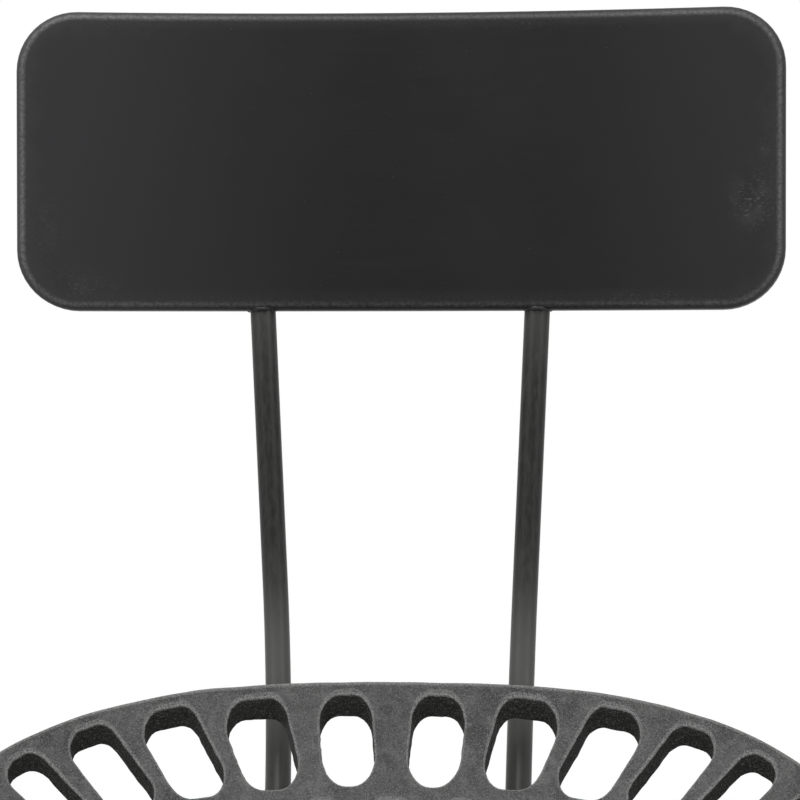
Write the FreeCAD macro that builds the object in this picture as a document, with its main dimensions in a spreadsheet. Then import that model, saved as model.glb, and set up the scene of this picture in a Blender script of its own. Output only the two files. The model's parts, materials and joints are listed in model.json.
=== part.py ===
# Tractor seat stool with a backrest: a pierced cast seat on a screw spindle, a pressed steel
# backrest on two bent rods, and a four-legged tube base with a round footrest.
# Millimetres, +Z up, front towards -Y, origin on the floor under the middle of the whole stool.
import FreeCAD
import Part
import math
import os
import Sketcher
from FreeCAD import Placement, Rotation, Vector

X_AXIS = Vector(1, 0, 0)
Y_AXIS = Vector(0, 1, 0)
Z_AXIS = Vector(0, 0, 1)

# Driving dimensions, in millimetres and degrees. Ring and pad sizes of the seat are fractions
# of the way from its middle to its edge. Heights of the seat are above the top of its pad.
DRIVING = {
    "spindle_setback": -73.9,
    "seat_height": 660.0,
    "seat_half_width": 222.0,
    "seat_rear_reach": 190.0,
    "seat_front_reach": 178.0,
    "seat_squareness": 2.83,
    "rim_rear_height": 90.0,
    "rim_front_height": -16.0,
    "rim_fall": 0.785,
    "pad_fraction": 0.24,
    "dish_power": 1.95,
    "notch_depth": 22.0,
    "notch_width": 38.0,
    "pommel_rise": 14.0,
    "pommel_width": 34.0,
    "pommel_start": 60.0,
    "pommel_end": 150.0,
    "casting_thickness": 8.0,
    "boss_radius": 46.0,
    "boss_depth": 4.5,
    "fan_centre": 30.0,
    "rib_width": 10.0,
    "rim_band": 5.6,
    "slot_taper_length": 33.0,
    "panel_arc_width": 378.0,
    "panel_height": 148.0,
    "panel_sagitta": 14.0,
    "panel_corner_radius": 30.0,
    "panel_edge_radius": 5.0,
    "panel_depth": 16.0,
    "panel_sheet": 2.0,
    "panel_lean": 15.0,
    "panel_rise": 252.9,
    "rod_radius": 6.35,
    "rod_half_spacing": 56.0,
    "rod_splay": 2.58,
    "rod_bend_radius": 200.0,
    "rod_reach": 201.4,
    "rod_overhang": 70.0,
    "rod_in_panel": 108.0,
    "plate_width": 132.0,
    "plate_length": 120.0,
    "plate_forward": 14.0,
    "plate_thickness": 6.0,
    "plate_corner_radius": 14.0,
    "bolt_radius": 4.0,
    "bolt_offset": 26.0,
    "bolt_head_radius": 8.5,
    "bolt_head_height": 4.6,
    "spot_face_radius": 9.5,
    "spot_face_depth": 0.3,
    "washer_radius": 8.5,
    "washer_thickness": 1.6,
    "nut_corner_radius": 7.5,
    "nut_height": 6.5,
    "flange_radius": 48.0,
    "flange_thickness": 8.0,
    "collar_radius": 22.0,
    "collar_height": 16.0,
    "spindle_radius": 15.0,
    "screw_travel": 120.0,
    "travel_margin": 1.0,
    "stop_radius": 23.0,
    "stop_thickness": 4.0,
    "stop_bolt_radius": 5.0,
    "stop_bolt_length": 24.0,
    "hub_top": 615.0,
    "hub_height": 90.0,
    "hub_radius": 27.0,
    "hub_collar_radius": 32.0,
    "hub_collar_height": 9.0,
    "lug_width": 36.0,
    "lug_reach": 35.0,
    "lug_height": 74.0,
    "leg_radius": 12.7,
    "leg_wall": 2.0,
    "leg_spacing": 39.0,
    "leg_straight": 92.0,
    "leg_bend_radius": 160.0,
    "leg_slope": 20.5,
    "leg_top": 605.5,
    "leg_bolt_upper": 18.0,
    "leg_bolt_pitch": 48.0,
    "leg_bolt_end": 17.5,
    "saddle_thickness": 2.0,
    "foot_radius": 17.0,
    "foot_sole": 26.0,
    "foot_grip": 30.0,
    "footrest_height": 210.0,
    "footrest_radius": 8.0,
    "screw_radius": 3.0,
    "screw_head_radius": 5.5,
    "screw_head_height": 3.4,
    "thread_stand_out": 2.5,
    "collar_root": 4.0,
    "spindle_chamfer": 2.0,
    "stop_hole_depth": 20.0,
    "stop_gap": 0.2,
    "stop_head_radius": 9.2,
    "stop_head_height": 6.4,
    "rod_standoff": 0.1,
    "hub_chamfer": 2.5,
    "lug_root": 16.5,
    "leg_run": 474.0,
    "leg_head_height": 5.5,
    "saddle_depth": 4.9,
    "foot_flare": 19.0,
    "foot_lip": 3.0,
    "screw_grip": 4.0,
    "screw_run_out": 0.5,
    "running_gap": 0.05,
    "hole_gap": 0.2,
}

# Slots in a quarter of the seat's outer row, from the middle of the rear or the front to the side:
# share of that quarter's rim, bearing from the seat's middle line, width at the rim and width one
# taper length further in.
QUARTER_SLOTS = (
    (0.069, 8.0, 25.4, 24.8), (0.204, 27.5, 31.0, 25.0), (0.331, 42.2, 26.0, 24.0),
    (0.444, 52.3, 22.5, 21.5), (0.545, 62.0, 20.5, 18.0), (0.646, 70.0, 20.5, 18.0),
    (0.747, 77.0, 20.5, 18.0), (0.848, 82.5, 20.5, 18.0), (0.949, 87.5, 20.5, 18.0),
)
# Side and end of the seat that each quarter is on, once round from the middle of the rear.
QUARTERS = ((1, 1), (1, -1), (-1, -1), (-1, 1))
# Rows of slots: inner and outer ring, corner radii at each. The outer row ends at the rim's band.
OUTER_ROW = (0.82, None, 12.5, 9.0)
MIDDLE_ROW = (0.62, 0.792, 7.0, 9.0)
INNER_ROW = (0.43, 0.575, 7.0, 10.0)
LEG_AZIMUTHS = (45.0, 135.0, 225.0, 315.0)

# How finely the seat's surfaces and edges are drawn, and how far its blank and cuts stand out.
SURFACE_STEP = 22.0
SLOPE_STEP = 0.5
RING_STEP = 0.02
CORNER_FLATS = 3
LONGEST_CORNER = 0.47
RIM_POINTS = 64
QUARTER_POINTS = 90
SURFACE_MARGIN = 14.0
BLANK_FLOOR = -60.0
BLANK_HEIGHT = 200.0
SURFACE_DEPTH = 300.0
LEAD_IN = 25.0
PRECISION = 0.0001

# The rounding of a domed head as a share of its height, the most of the panel's block that may be
# left when it is hollowed out, the size of the block below the floor, and how near counts as equal.
DOME_SHARE = 0.85
TRAY_SHARE = 0.4
FLOOR_WIDTH = 1000.0
FLOOR_DEPTH = 100.0
TOLERANCE = 0.01
# What each kind of cut takes its material from.
CUT_FROM = {"Part::Cut": "Base", "PartDesign::Pocket": "BaseFeature"}

doc = FreeCAD.newDocument("TractorSeatStool")
sheet = doc.addObject("Spreadsheet::Sheet", "Sizes")
aliases = []
nodes = []


def put(alias, value):
    """Write a size into the next row of the sheet, under its alias."""
    if alias not in aliases:
        aliases.append(alias)
        sheet.set("A%d" % len(aliases), alias.replace("_", " "))
        sheet.setAlias("B%d" % len(aliases), alias)
    sheet.set("B%d" % (aliases.index(alias) + 1), repr(float(value)))
    sheet.recompute()
    return value


def fill_sheet():
    for alias, value in DRIVING.items():
        put(alias, value)


def size(alias):
    return float(sheet.get(alias))


def bind(obj, **expressions):
    """Bind properties to formulas in the sheet's aliases; a double underscore stands for a dot."""
    for prop, formula in expressions.items():
        obj.setExpression(prop.replace("__", "."), formula)
    return obj


def node(obj, label, placement=None):
    """Name a finished piece. Pieces are built about the spindle axis and moved to the stool's frame."""
    obj.Label = label
    setback = Placement(Vector(0, size("spindle_setback"), 0), Rotation())
    obj.Placement = setback.multiply(placement or Placement())
    nodes.append(obj)
    return obj


def cylinder(name, radius, height, at=Vector(), direction=Z_AXIS):
    piece = doc.addObject("Part::Cylinder", name)
    bind(piece, Radius=radius, Height=height)
    piece.Placement = Placement(at, Rotation(Z_AXIS, direction))
    return piece


def boolean(kind, name, base, tool):
    piece = doc.addObject("Part::" + kind, name)
    piece.Base = base
    piece.Tool = tool
    return piece


def fuse(name, pieces):
    piece = doc.addObject("Part::MultiFuse", name)
    piece.Shapes = pieces
    return piece


def copies(label, master, places):
    """One piece for identical fasteners: a group of separate solids."""
    doc.recompute()
    group = doc.addObject("Part::Feature", label)
    solids = []
    for place in places:
        solid = master.Shape.copy()
        solid.Placement = place.multiply(master.Placement)
        solids.append(solid)
    group.Shape = Part.makeCompound(solids)
    return node(group, label)


def new_body(name):
    return doc.addObject("PartDesign::Body", name)


def plane(body, role):
    return [item for item in body.Origin.OriginFeatures if item.Role == role][0]


def new_sketch(body, role, name):
    sketch = body.newObject("Sketcher::SketchObject", name)
    sketch.AttachmentSupport = [(plane(body, role), "")]
    sketch.MapMode = "FlatFace"
    return sketch


def constrain(sketch, kind, formula, *where):
    """Add a dimension to a sketch, bound to a formula in the sheet's aliases."""
    start = sketch.addConstraint(Sketcher.Constraint(kind, *where))
    sketch.setExpression("Constraints[%d]" % start, formula)


def circle(sketch, formula, radius, centre=None):
    """A circle about the sketch's origin, or about a corner."""
    x, x_formula, y, y_formula = centre or corner("0", "0", 0.0, 0.0)
    index = sketch.addGeometry(Part.Circle(Vector(x, y, 0), Z_AXIS, radius), False)
    constrain(sketch, "Radius", formula, index, radius)
    if centre is None:
        sketch.addConstraint(Sketcher.Constraint("Coincident", index, 3, -1, 1))
        return
    constrain(sketch, "DistanceX", x_formula, -1, 1, index, 3, x)
    constrain(sketch, "DistanceY", y_formula, -1, 1, index, 3, y)


def corner(x_formula, y_formula, x, y):
    return (x, x_formula, y, y_formula)


def polygon(sketch, corners):
    """A closed outline of straight sides between corners, measured from the sketch's origin."""
    count = len(corners)
    for index, (x, x_formula, y, y_formula) in enumerate(corners):
        after = corners[(index + 1) % count]
        line = Part.LineSegment(Vector(x, y, 0), Vector(after[0], after[2], 0))
        sketch.addGeometry(line, False)
    for index in range(count):
        sketch.addConstraint(Sketcher.Constraint("Coincident", index, 2, (index + 1) % count, 1))
    # A corner on an axis is held there; any other has a dimension.
    for index, (x, x_formula, y, y_formula) in enumerate(corners):
        distances = (("DistanceX", x, x_formula, -2), ("DistanceY", y, y_formula, -1))
        for kind, value, formula, axis in distances:
            if formula == "0":
                sketch.addConstraint(Sketcher.Constraint("PointOnObject", index, 1, axis))
            else:
                constrain(sketch, kind, formula, -1, 1, index, 1, value)


def bent_path(body, first_run, second_run, bend_radius, turn, formulas, name):
    """A centre line in the YZ plane: a run along Y, a tangent bend upwards and a second run."""
    sketch = new_sketch(body, "YZ_Plane", name)
    end = math.radians(turn)
    bend_end = Vector(first_run + bend_radius * math.sin(end), bend_radius * (1 - math.cos(end)), 0)
    tip = bend_end + Vector(math.cos(end), math.sin(end), 0) * second_run
    centre = Vector(first_run, bend_radius, 0)
    sketch.addGeometry(Part.LineSegment(Vector(), Vector(first_run, 0, 0)), False)
    ring = Part.Circle(centre, Z_AXIS, bend_radius)
    sketch.addGeometry(Part.ArcOfCircle(ring, -math.pi / 2, -math.pi / 2 + end), False)
    sketch.addGeometry(Part.LineSegment(bend_end, tip), False)
    sketch.addConstraint(Sketcher.Constraint("Coincident", 0, 1, -1, 1))
    sketch.addConstraint(Sketcher.Constraint("Horizontal", 0))
    sketch.addConstraint(Sketcher.Constraint("Tangent", 0, 2, 1, 1))
    sketch.addConstraint(Sketcher.Constraint("Tangent", 1, 2, 2, 1))
    constrain(sketch, "Distance", formulas[0], 0, first_run)
    constrain(sketch, "Radius", formulas[1], 1, bend_radius)
    constrain(sketch, "Angle", formulas[2], 2, end)
    constrain(sketch, "Distance", formulas[3], 2, second_run)
    return sketch


def pipe(body, profile, path, name):
    sweep = body.newObject("PartDesign::AdditivePipe", name)
    sweep.Profile = (profile, [""])
    sweep.Spine = (path, ["Edge1", "Edge2", "Edge3"])
    return sweep


# The seat is a casting of even thickness. Its plan is a rounded square with a notch between the
# thighs, and its top rises from a flat pad to a rim that is high behind and low in front.

def smooth(value, low, high):
    step = min(max((value - low) / (high - low), 0.0), 1.0)
    return step * step * (3 - 2 * step)


def seat_reach(x, y):
    """Distance from the middle to the edge along Y, in front with the notch taken off."""
    if y >= 0:
        return size("seat_rear_reach")
    notch = size("notch_depth") * math.exp(-(x / size("notch_width")) ** 2)
    return size("seat_front_reach") - notch


def seat_fraction(x, y):
    """0 in the middle of the seat and 1 on its edge."""
    power = size("seat_squareness")
    sideways = abs(x / size("seat_half_width")) ** power
    lengthways = abs(y / seat_reach(x, y)) ** power
    return (sideways + lengthways) ** (1 / power)


def seat_top(x, y):
    fraction = max(seat_fraction(x, y), PRECISION)
    lengthways = min(abs(y) / (seat_reach(x, y) * fraction), 1.0) ** (size("seat_squareness") / 2)
    towards_rear = math.copysign(lengthways, y)
    rise = size("rim_rear_height") - size("rim_front_height")
    rim = size("rim_front_height") + rise * ((1 + towards_rear) / 2) ** size("rim_fall")
    climb = max((fraction - size("pad_fraction")) / (1 - size("pad_fraction")), 0.0)
    pommel = size("pommel_rise") * math.exp(-(x / size("pommel_width")) ** 2)
    pommel *= smooth(-y, size("pommel_start"), size("pommel_end"))
    return rim * climb ** size("dish_power") + pommel


def seat_bottom(x, y):
    """The underside, one wall thickness away from the top along its normal."""
    step = SLOPE_STEP
    slope_x = (seat_top(x + step, y) - seat_top(x - step, y)) / (2 * step)
    slope_y = (seat_top(x, y + step) - seat_top(x, y - step)) / (2 * step)
    return seat_top(x, y) - size("casting_thickness") * math.sqrt(1 + slope_x ** 2 + slope_y ** 2)


def below(height):
    """The space under one of the seat's surfaces."""
    half = size("seat_half_width") + SURFACE_MARGIN
    front = -size("seat_front_reach") - SURFACE_MARGIN
    rear = size("seat_rear_reach") + SURFACE_MARGIN
    columns = math.ceil(2 * half / SURFACE_STEP)
    rows = math.ceil((rear - front) / SURFACE_STEP)
    grid = []
    for column in range(columns + 1):
        x = -half + 2 * half * column / columns
        line = []
        for row in range(rows + 1):
            y = front + (rear - front) * row / rows
            line.append(Vector(x, y, height(x, y)))
        grid.append(line)
    surface = Part.BSplineSurface()
    surface.interpolate(grid)
    return surface.toShape().extrude(Vector(0, 0, -SURFACE_DEPTH))


def along(bearing):
    """A level direction, by its bearing clockwise from the rear."""
    return Vector(math.sin(bearing), math.cos(bearing), 0)


def across(bearing):
    return Vector(math.cos(bearing), -math.sin(bearing), 0)


def meeting(start, direction, fraction, outwards):
    """Where a line from a point of the seat, or from beyond its rim, meets one of its rings."""
    near, far = 0.0, 2 * size("seat_half_width") if outwards else start.Length
    while far - near > PRECISION:
        middle = (near + far) / 2
        point = start + direction * middle
        if (seat_fraction(point.x, point.y) < fraction) == outwards:
            near = middle
        else:
            far = middle
    return start + direction * near


def ring_points(bearings, fraction):
    """The points of one ring of the seat at bearings from its middle."""
    return [meeting(Vector(), along(bearing), fraction, True) for bearing in bearings]


def point_along(points, share):
    """The point at a share of the length of the line through points."""
    lengths = [before.distanceToPoint(after) for before, after in zip(points, points[1:])]
    left = share * sum(lengths)
    for before, after, length in zip(points, points[1:], lengths):
        if left < length:
            return before + (after - before) * (left / length)
        left -= length
    return points[-1]


def walk_in(line, fraction):
    """Where a line that comes in over the rim meets one ring of the seat."""
    place, bearing = line
    return meeting(place + along(bearing) * LEAD_IN, -along(bearing), fraction, False)


def rim_fraction(line):
    """The ring that leaves a band of even width below the rim, measured along the surface."""
    edge, inside = walk_in(line, 1.0), walk_in(line, 1.0 - RING_STEP)
    level = edge.distanceToPoint(inside)
    slope = (seat_top(edge.x, edge.y) - seat_top(inside.x, inside.y)) / level
    return 1.0 - RING_STEP * size("rim_band") / math.sqrt(1 + slope ** 2) / level


def slot_side(place, bearing, outer_width, inner_width, side):
    """The line along one side of a slot or rib that tapers inwards."""
    lean = math.atan((outer_width - inner_width) / 2 / size("slot_taper_length"))
    return place + across(bearing) * (side * outer_width / 2), bearing + side * lean


def rounded_outline(corners, radii):
    """A closed wire of straight sides joined by arcs."""
    count = len(corners)
    sides = [(corners[(i + 1) % count] - corners[i]).Length for i in range(count)]
    points = []
    for index, corner in enumerate(corners):
        back = (corners[index - 1] - corner).normalize()
        ahead = (corners[(index + 1) % count] - corner).normalize()
        half_angle = back.getAngle(ahead) / 2
        limit = LONGEST_CORNER * min(sides[index - 1], sides[index])
        cut = min(radii[index] / math.tan(half_angle), limit)
        radius = cut * math.tan(half_angle)
        bisector = (back + ahead).normalize()
        centre = corner + bisector * (cut / math.cos(half_angle))
        sweep = math.pi - 2 * half_angle
        sideways = bisector.cross(Z_AXIS)
        if sideways.dot(ahead) < 0:
            sideways = -sideways
        for step in range(CORNER_FLATS + 1):
            turn = sweep * (step / CORNER_FLATS - 0.5)
            outwards = sideways * math.sin(turn) - bisector * math.cos(turn)
            points.append(centre + outwards * radius)
    return Part.makePolygon(points + points[:1])


def slot(left, right, row):
    """The opening between two lines, cut straight down, with its corners rounded."""
    inner, outer, round_in, round_out = row
    corners = []
    for line in (left, right):
        far = rim_fraction(line) if outer is None else outer
        corners.append((walk_in(line, inner), walk_in(line, far)))
    (left_in, left_out), (right_in, right_out) = corners
    outline = rounded_outline([left_in, left_out, right_out, right_in],
                              [round_in, round_out, round_out, round_in])
    face = Part.Face(outline)
    face.translate(Vector(0, 0, BLANK_FLOOR))
    return face.extrude(Vector(0, 0, BLANK_HEIGHT))


def outer_slots():
    """The slots of the outer row: where each points at the rim, its bearing and its two widths."""
    slots = []
    for side, end in QUARTERS:
        turns = [math.pi / 2 * step / QUARTER_POINTS for step in range(QUARTER_POINTS + 1)]
        bearings = [side * (turn if end > 0 else math.pi - turn) for turn in turns]
        rim = ring_points(bearings, 1.0)
        quarter = []
        for share, bearing, outer_width, inner_width in QUARTER_SLOTS:
            turn = math.radians(bearing)
            turned = side * (turn if end > 0 else math.pi - turn)
            quarter.append((point_along(rim, share), turned, outer_width, inner_width))
        slots.extend(quarter if side == end else reversed(quarter))
    return slots


def slots_between_ribs(starts, row):
    """Slots between ribs of one width that fan in from their starting points."""
    centre, width = size("fan_centre"), size("rib_width")
    ribs = [(start, math.atan2(start.x, start.y - centre)) for start in starts]
    slots = []
    for index, rib in enumerate(ribs):
        after = ribs[(index + 1) % len(ribs)]
        slots.append(slot(slot_side(*rib, width, width, 1), slot_side(*after, width, width, -1), row))
    return slots


def seat_slots():
    outer = outer_slots()
    cuts = [slot(slot_side(*middle, -1), slot_side(*middle, 1), OUTER_ROW) for middle in outer]
    # Each rib of the middle row starts at the middle of a slot of the outer row.
    starts = [walk_in(middle[:2], OUTER_ROW[0]) for middle in outer]
    cuts += slots_between_ribs(starts, MIDDLE_ROW)
    # The inner row has half as many slots, spread evenly along its ring.
    steps = 4 * QUARTER_POINTS
    circuit = ring_points([2 * math.pi * step / steps for step in range(steps + 1)], INNER_ROW[1])
    count = len(outer) // 2
    starts = [point_along(circuit, index / count) for index in range(count)]
    return cuts + slots_between_ribs(starts, INNER_ROW)


def make_seat():
    bearings = [2 * math.pi * index / RIM_POINTS for index in range(RIM_POINTS)]
    rim = [point + Z_AXIS * BLANK_FLOOR for point in ring_points(bearings, 1.0)]
    curve = Part.BSplineCurve()
    curve.interpolate(rim, PeriodicFlag=True)
    blank = Part.Face(Part.Wire(curve.toShape())).extrude(Vector(0, 0, BLANK_HEIGHT))
    shell = blank.common(below(seat_top)).cut(below(seat_bottom))
    boss_depth = size("casting_thickness") + size("boss_depth")
    boss_height = boss_depth - size("casting_thickness") / 2
    shell = shell.fuse(Part.makeCylinder(size("boss_radius"), boss_height, Vector(0, 0, -boss_depth)))
    cuts = seat_slots()
    for place in bolt_places():
        floor = place - Z_AXIS * 2 * boss_depth
        cuts.append(Part.makeCylinder(size("bolt_radius") + size("hole_gap"), 4 * boss_depth, floor))
        spot = place - Z_AXIS * size("spot_face_depth")
        cuts.append(Part.makeCylinder(size("spot_face_radius"), boss_depth, spot))
    seat = doc.addObject("Part::Feature", "Seat")
    pierced = shell.cut(Part.makeCompound(cuts))
    if len(pierced.Solids) != 1 or not pierced.Volume < shell.Volume:
        raise RuntimeError("the slots did not leave one pierced seat")
    seat.Shape = pierced.Solids[0]
    node(seat, "seat", Placement(Vector(0, 0, size("seat_height")), Rotation()))


def bolt_places():
    offset = size("bolt_offset")
    return [Vector(x * offset, y * offset, 0) for x in (-1, 1) for y in (-1, 1)]


# The seat is clamped by four bolts to a plate. The backrest's rods are welded under that plate,
# on either side of the flange that carries the spindle.

def boss_floor():
    return size("seat_height") - size("casting_thickness") - size("boss_depth")


def plate_floor():
    return boss_floor() - size("plate_thickness")


def flange_floor():
    return plate_floor() - size("flange_thickness")


def numbers(items, test):
    return [number for number, item in enumerate(items, start=1) if test(item)]


def is_straight(edge):
    return edge.Curve.TypeId == "Part::GeomLine"


def is_upright(edge):
    return is_straight(edge) and abs(edge.tangentAt(edge.FirstParameter).z) > 1 - TOLERANCE


def domed_screw(name, radius, length, head_radius, head_height):
    """A round-headed fastener that hangs from z = 0; its head is above."""
    head = cylinder(name + "Head", head_radius, head_height)
    doc.recompute()
    highest = head.Shape.BoundBox.ZMax

    def on_top(edge):
        return not is_straight(edge) and edge.BoundBox.ZMin > highest - TOLERANCE

    dome = DOME_SHARE * highest
    rounded = doc.addObject("Part::Fillet", name + "Dome")
    rounded.Base = head
    rounded.Edges = [(number, dome, dome) for number in numbers(head.Shape.Edges, on_top)]
    shank = cylinder(name + "Shank", radius, length, direction=-Z_AXIS)
    return fuse(name + "Master", [rounded, shank])


def hex_screw(name, radius, length, head_radius, head_height):
    head = doc.addObject("Part::Prism", name + "Head")
    head.Polygon = 6
    bind(head, Circumradius=head_radius, Height=head_height)
    shank = cylinder(name + "Shank", radius, length, direction=-Z_AXIS)
    return fuse(name + "Master", [head, shank])


def make_seat_fasteners():
    stack = " + ".join("Sizes." + alias for alias in (
        "casting_thickness", "boss_depth", "plate_thickness", "flange_thickness",
        "washer_thickness", "nut_height", "thread_stand_out"))
    bolt = domed_screw("SeatBolt", "Sizes.bolt_radius", stack,
                       "Sizes.bolt_head_radius", "Sizes.bolt_head_height")
    top = Vector(0, 0, size("seat_height") - size("spot_face_depth"))
    copies("seat_bolts", bolt, [Placement(place + top, Rotation()) for place in bolt_places()])

    disc = cylinder("SeatWasherDisc", "Sizes.washer_radius", "Sizes.washer_thickness")
    hole = cylinder("SeatWasherHole", "Sizes.bolt_radius + 2 * Sizes.running_gap",
                    "Sizes.washer_thickness")
    washer = boolean("Cut", "SeatWasherMaster", disc, hole)
    washer_floor = Vector(0, 0, flange_floor() - size("washer_thickness"))
    copies("seat_washers", washer,
           [Placement(place + washer_floor, Rotation()) for place in bolt_places()])

    prism = doc.addObject("Part::Prism", "SeatNutPrism")
    prism.Polygon = 6
    bind(prism, Circumradius="Sizes.nut_corner_radius", Height="Sizes.nut_height")
    thread = cylinder("SeatNutThread", "Sizes.bolt_radius + Sizes.running_gap", "Sizes.nut_height")
    nut = boolean("Cut", "SeatNutMaster", prism, thread)
    nut_floor = washer_floor - Vector(0, 0, size("nut_height"))
    copies("seat_nuts", nut, [Placement(place + nut_floor, Rotation()) for place in bolt_places()])


def bolt_holes(body, name):
    """Four through holes on the seat's bolt pattern."""
    offset = size("bolt_offset")
    sketch = new_sketch(body, "XY_Plane", name + "Sketch")
    circle(sketch, "Sizes.bolt_radius + Sizes.hole_gap", size("bolt_radius") + size("hole_gap"),
           corner("Sizes.bolt_offset", "Sizes.bolt_offset", offset, offset))
    hole = body.newObject("PartDesign::Pocket", name)
    hole.Profile = sketch
    hole.Type = "ThroughAll"
    hole.Midplane = True
    pattern = body.newObject("PartDesign::PolarPattern", name + "s")
    pattern.Originals = [hole]
    pattern.Axis = (sketch, ["N_Axis"])
    pattern.Angle = 360
    pattern.Occurrences = len(bolt_places())
    body.Tip = pattern


def make_back_bracket():
    body = new_body("BackBracket")
    half_x = size("plate_width") / 2
    rear = size("plate_length") / 2 - size("plate_forward")
    front = -size("plate_length") / 2 - size("plate_forward")
    outline = new_sketch(body, "XY_Plane", "BackBracketOutline")
    rear_formula = "Sizes.plate_length / 2 - Sizes.plate_forward"
    front_formula = "-Sizes.plate_length / 2 - Sizes.plate_forward"
    polygon(outline, [
        corner("Sizes.plate_width / 2", rear_formula, half_x, rear),
        corner("-Sizes.plate_width / 2", rear_formula, -half_x, rear),
        corner("-Sizes.plate_width / 2", front_formula, -half_x, front),
        corner("Sizes.plate_width / 2", front_formula, half_x, front),
    ])
    pad = body.newObject("PartDesign::Pad", "BackBracketPad")
    pad.Profile = outline
    bind(pad, Length="Sizes.plate_thickness")
    doc.recompute()
    rounded = body.newObject("PartDesign::Fillet", "BackBracketCorners")
    rounded.Base = (pad, ["Edge%d" % number for number in numbers(pad.Shape.Edges, is_upright)])
    bind(rounded, Radius="Sizes.plate_corner_radius")
    doc.recompute()
    bolt_holes(body, "BackBracketHole")
    node(body, "back_bracket", Placement(Vector(0, 0, plate_floor()), Rotation()))


def revolved(body, corners, name):
    sketch = new_sketch(body, "XZ_Plane", name + "Profile")
    polygon(sketch, corners)
    turned = body.newObject("PartDesign::Revolution", name)
    turned.Profile = sketch
    turned.ReferenceAxis = (sketch, ["V_Axis"])
    turned.Angle = 360
    return turned


def make_spindle_flange():
    body = new_body("SpindleFlange")
    bore = size("spindle_radius") + size("running_gap")
    bore_formula = "Sizes.spindle_radius + Sizes.running_gap"
    deep = size("flange_thickness") + size("collar_height")
    deep_formula = "-Sizes.flange_thickness - Sizes.collar_height"
    wide, collar, plate = size("flange_radius"), size("collar_radius"), size("flange_thickness")
    turned = revolved(body, [
        corner(bore_formula, "0", bore, 0),
        corner("Sizes.flange_radius", "0", wide, 0),
        corner("Sizes.flange_radius", "-Sizes.flange_thickness", wide, -plate),
        corner("Sizes.collar_radius", "-Sizes.flange_thickness", collar, -plate),
        corner("Sizes.collar_radius", deep_formula, collar, -deep),
        corner(bore_formula, deep_formula, bore, -deep),
    ], "SpindleFlangeTurned")
    doc.recompute()

    def at_root(edge):
        level = abs(edge.BoundBox.ZMax + plate) < TOLERANCE
        return not is_straight(edge) and level and abs(edge.BoundBox.XMax - collar) < TOLERANCE

    fillet = body.newObject("PartDesign::Fillet", "SpindleFlangeRoot")
    fillet.Base = (turned, ["Edge%d" % number for number in numbers(turned.Shape.Edges, at_root)])
    bind(fillet, Radius="Sizes.collar_root")
    doc.recompute()
    bolt_holes(body, "SpindleFlangeHole")
    node(body, "spindle_flange", Placement(Vector(0, 0, plate_floor()), Rotation()))


# The spindle turns in the hub and climbs by its lead. A washer on its lower end, too wide for the
# hub's bore, meets the hub at the top of the travel, so that the seat can't be screwed out.

def hub_floor():
    return size("hub_top") - size("hub_height")


def spindle_end():
    return hub_floor() - size("screw_travel") - size("travel_margin")


def make_spindle():
    body = new_body("Spindle")
    length = put("spindle_length", plate_floor() - spindle_end())
    radius, chamfer = size("spindle_radius"), size("spindle_chamfer")
    bore, depth = size("stop_bolt_radius") + size("running_gap"), size("stop_hole_depth")
    point_formula = "Sizes.spindle_radius - Sizes.spindle_chamfer"
    bore_formula = "Sizes.stop_bolt_radius + Sizes.running_gap"
    chamfer_formula = "Sizes.spindle_chamfer - Sizes.spindle_length"
    depth_formula = "Sizes.stop_hole_depth - Sizes.spindle_length"
    revolved(body, [
        corner("0", "0", 0, 0),
        corner("Sizes.spindle_radius", "0", radius, 0),
        corner("Sizes.spindle_radius", chamfer_formula, radius, chamfer - length),
        corner(point_formula, "-Sizes.spindle_length", radius - chamfer, -length),
        corner(bore_formula, "-Sizes.spindle_length", bore, -length),
        corner(bore_formula, depth_formula, bore, depth - length),
        corner("0", depth_formula, 0, depth - length),
    ], "SpindleTurned")
    node(body, "spindle", Placement(Vector(0, 0, plate_floor()), Rotation()))


def make_stop():
    disc = cylinder("StopWasherDisc", "Sizes.stop_radius", "Sizes.stop_thickness")
    hole = cylinder("StopWasherHole", "Sizes.stop_bolt_radius + Sizes.running_gap",
                    "Sizes.stop_thickness")
    washer = boolean("Cut", "StopWasher", disc, hole)
    washer_floor = spindle_end() - size("stop_gap") - size("stop_thickness")
    node(washer, "stop_washer", Placement(Vector(0, 0, washer_floor), Rotation()))
    bolt = hex_screw("StopBolt", "Sizes.stop_bolt_radius", "Sizes.stop_bolt_length",
                     "Sizes.stop_head_radius", "Sizes.stop_head_height")
    # The bolt is made head up, and hangs head down from the spindle.
    upside_down = Rotation(X_AXIS, 180)
    node(bolt, "stop_bolt", Placement(Vector(0, 0, washer_floor - size("stop_gap")), upside_down))


# Each backrest rod lies in a plane that leans outwards. It runs back under the seat, bends up
# behind the rim and ends inside the pressed panel.

def rod_frame(side):
    centre_height = plate_floor() - size("rod_radius") - size("running_gap")
    at = Vector(side * size("rod_half_spacing"), -size("rod_overhang"), centre_height)
    return Placement(at, Rotation(Y_AXIS, side * size("rod_splay")))


def rod_upper_run():
    """Start and direction of a rod's upper run, in the rod's own frame."""
    turn = math.radians(90 - size("panel_lean"))
    bend = size("rod_bend_radius")
    tangent = bend * math.tan(turn / 2)
    first_run = size("rod_overhang") + size("rod_reach") - tangent
    start = Vector(0, first_run + bend * math.sin(turn), bend * (1 - math.cos(turn)))
    return first_run, start, Vector(0, math.cos(turn), math.sin(turn))


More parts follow.
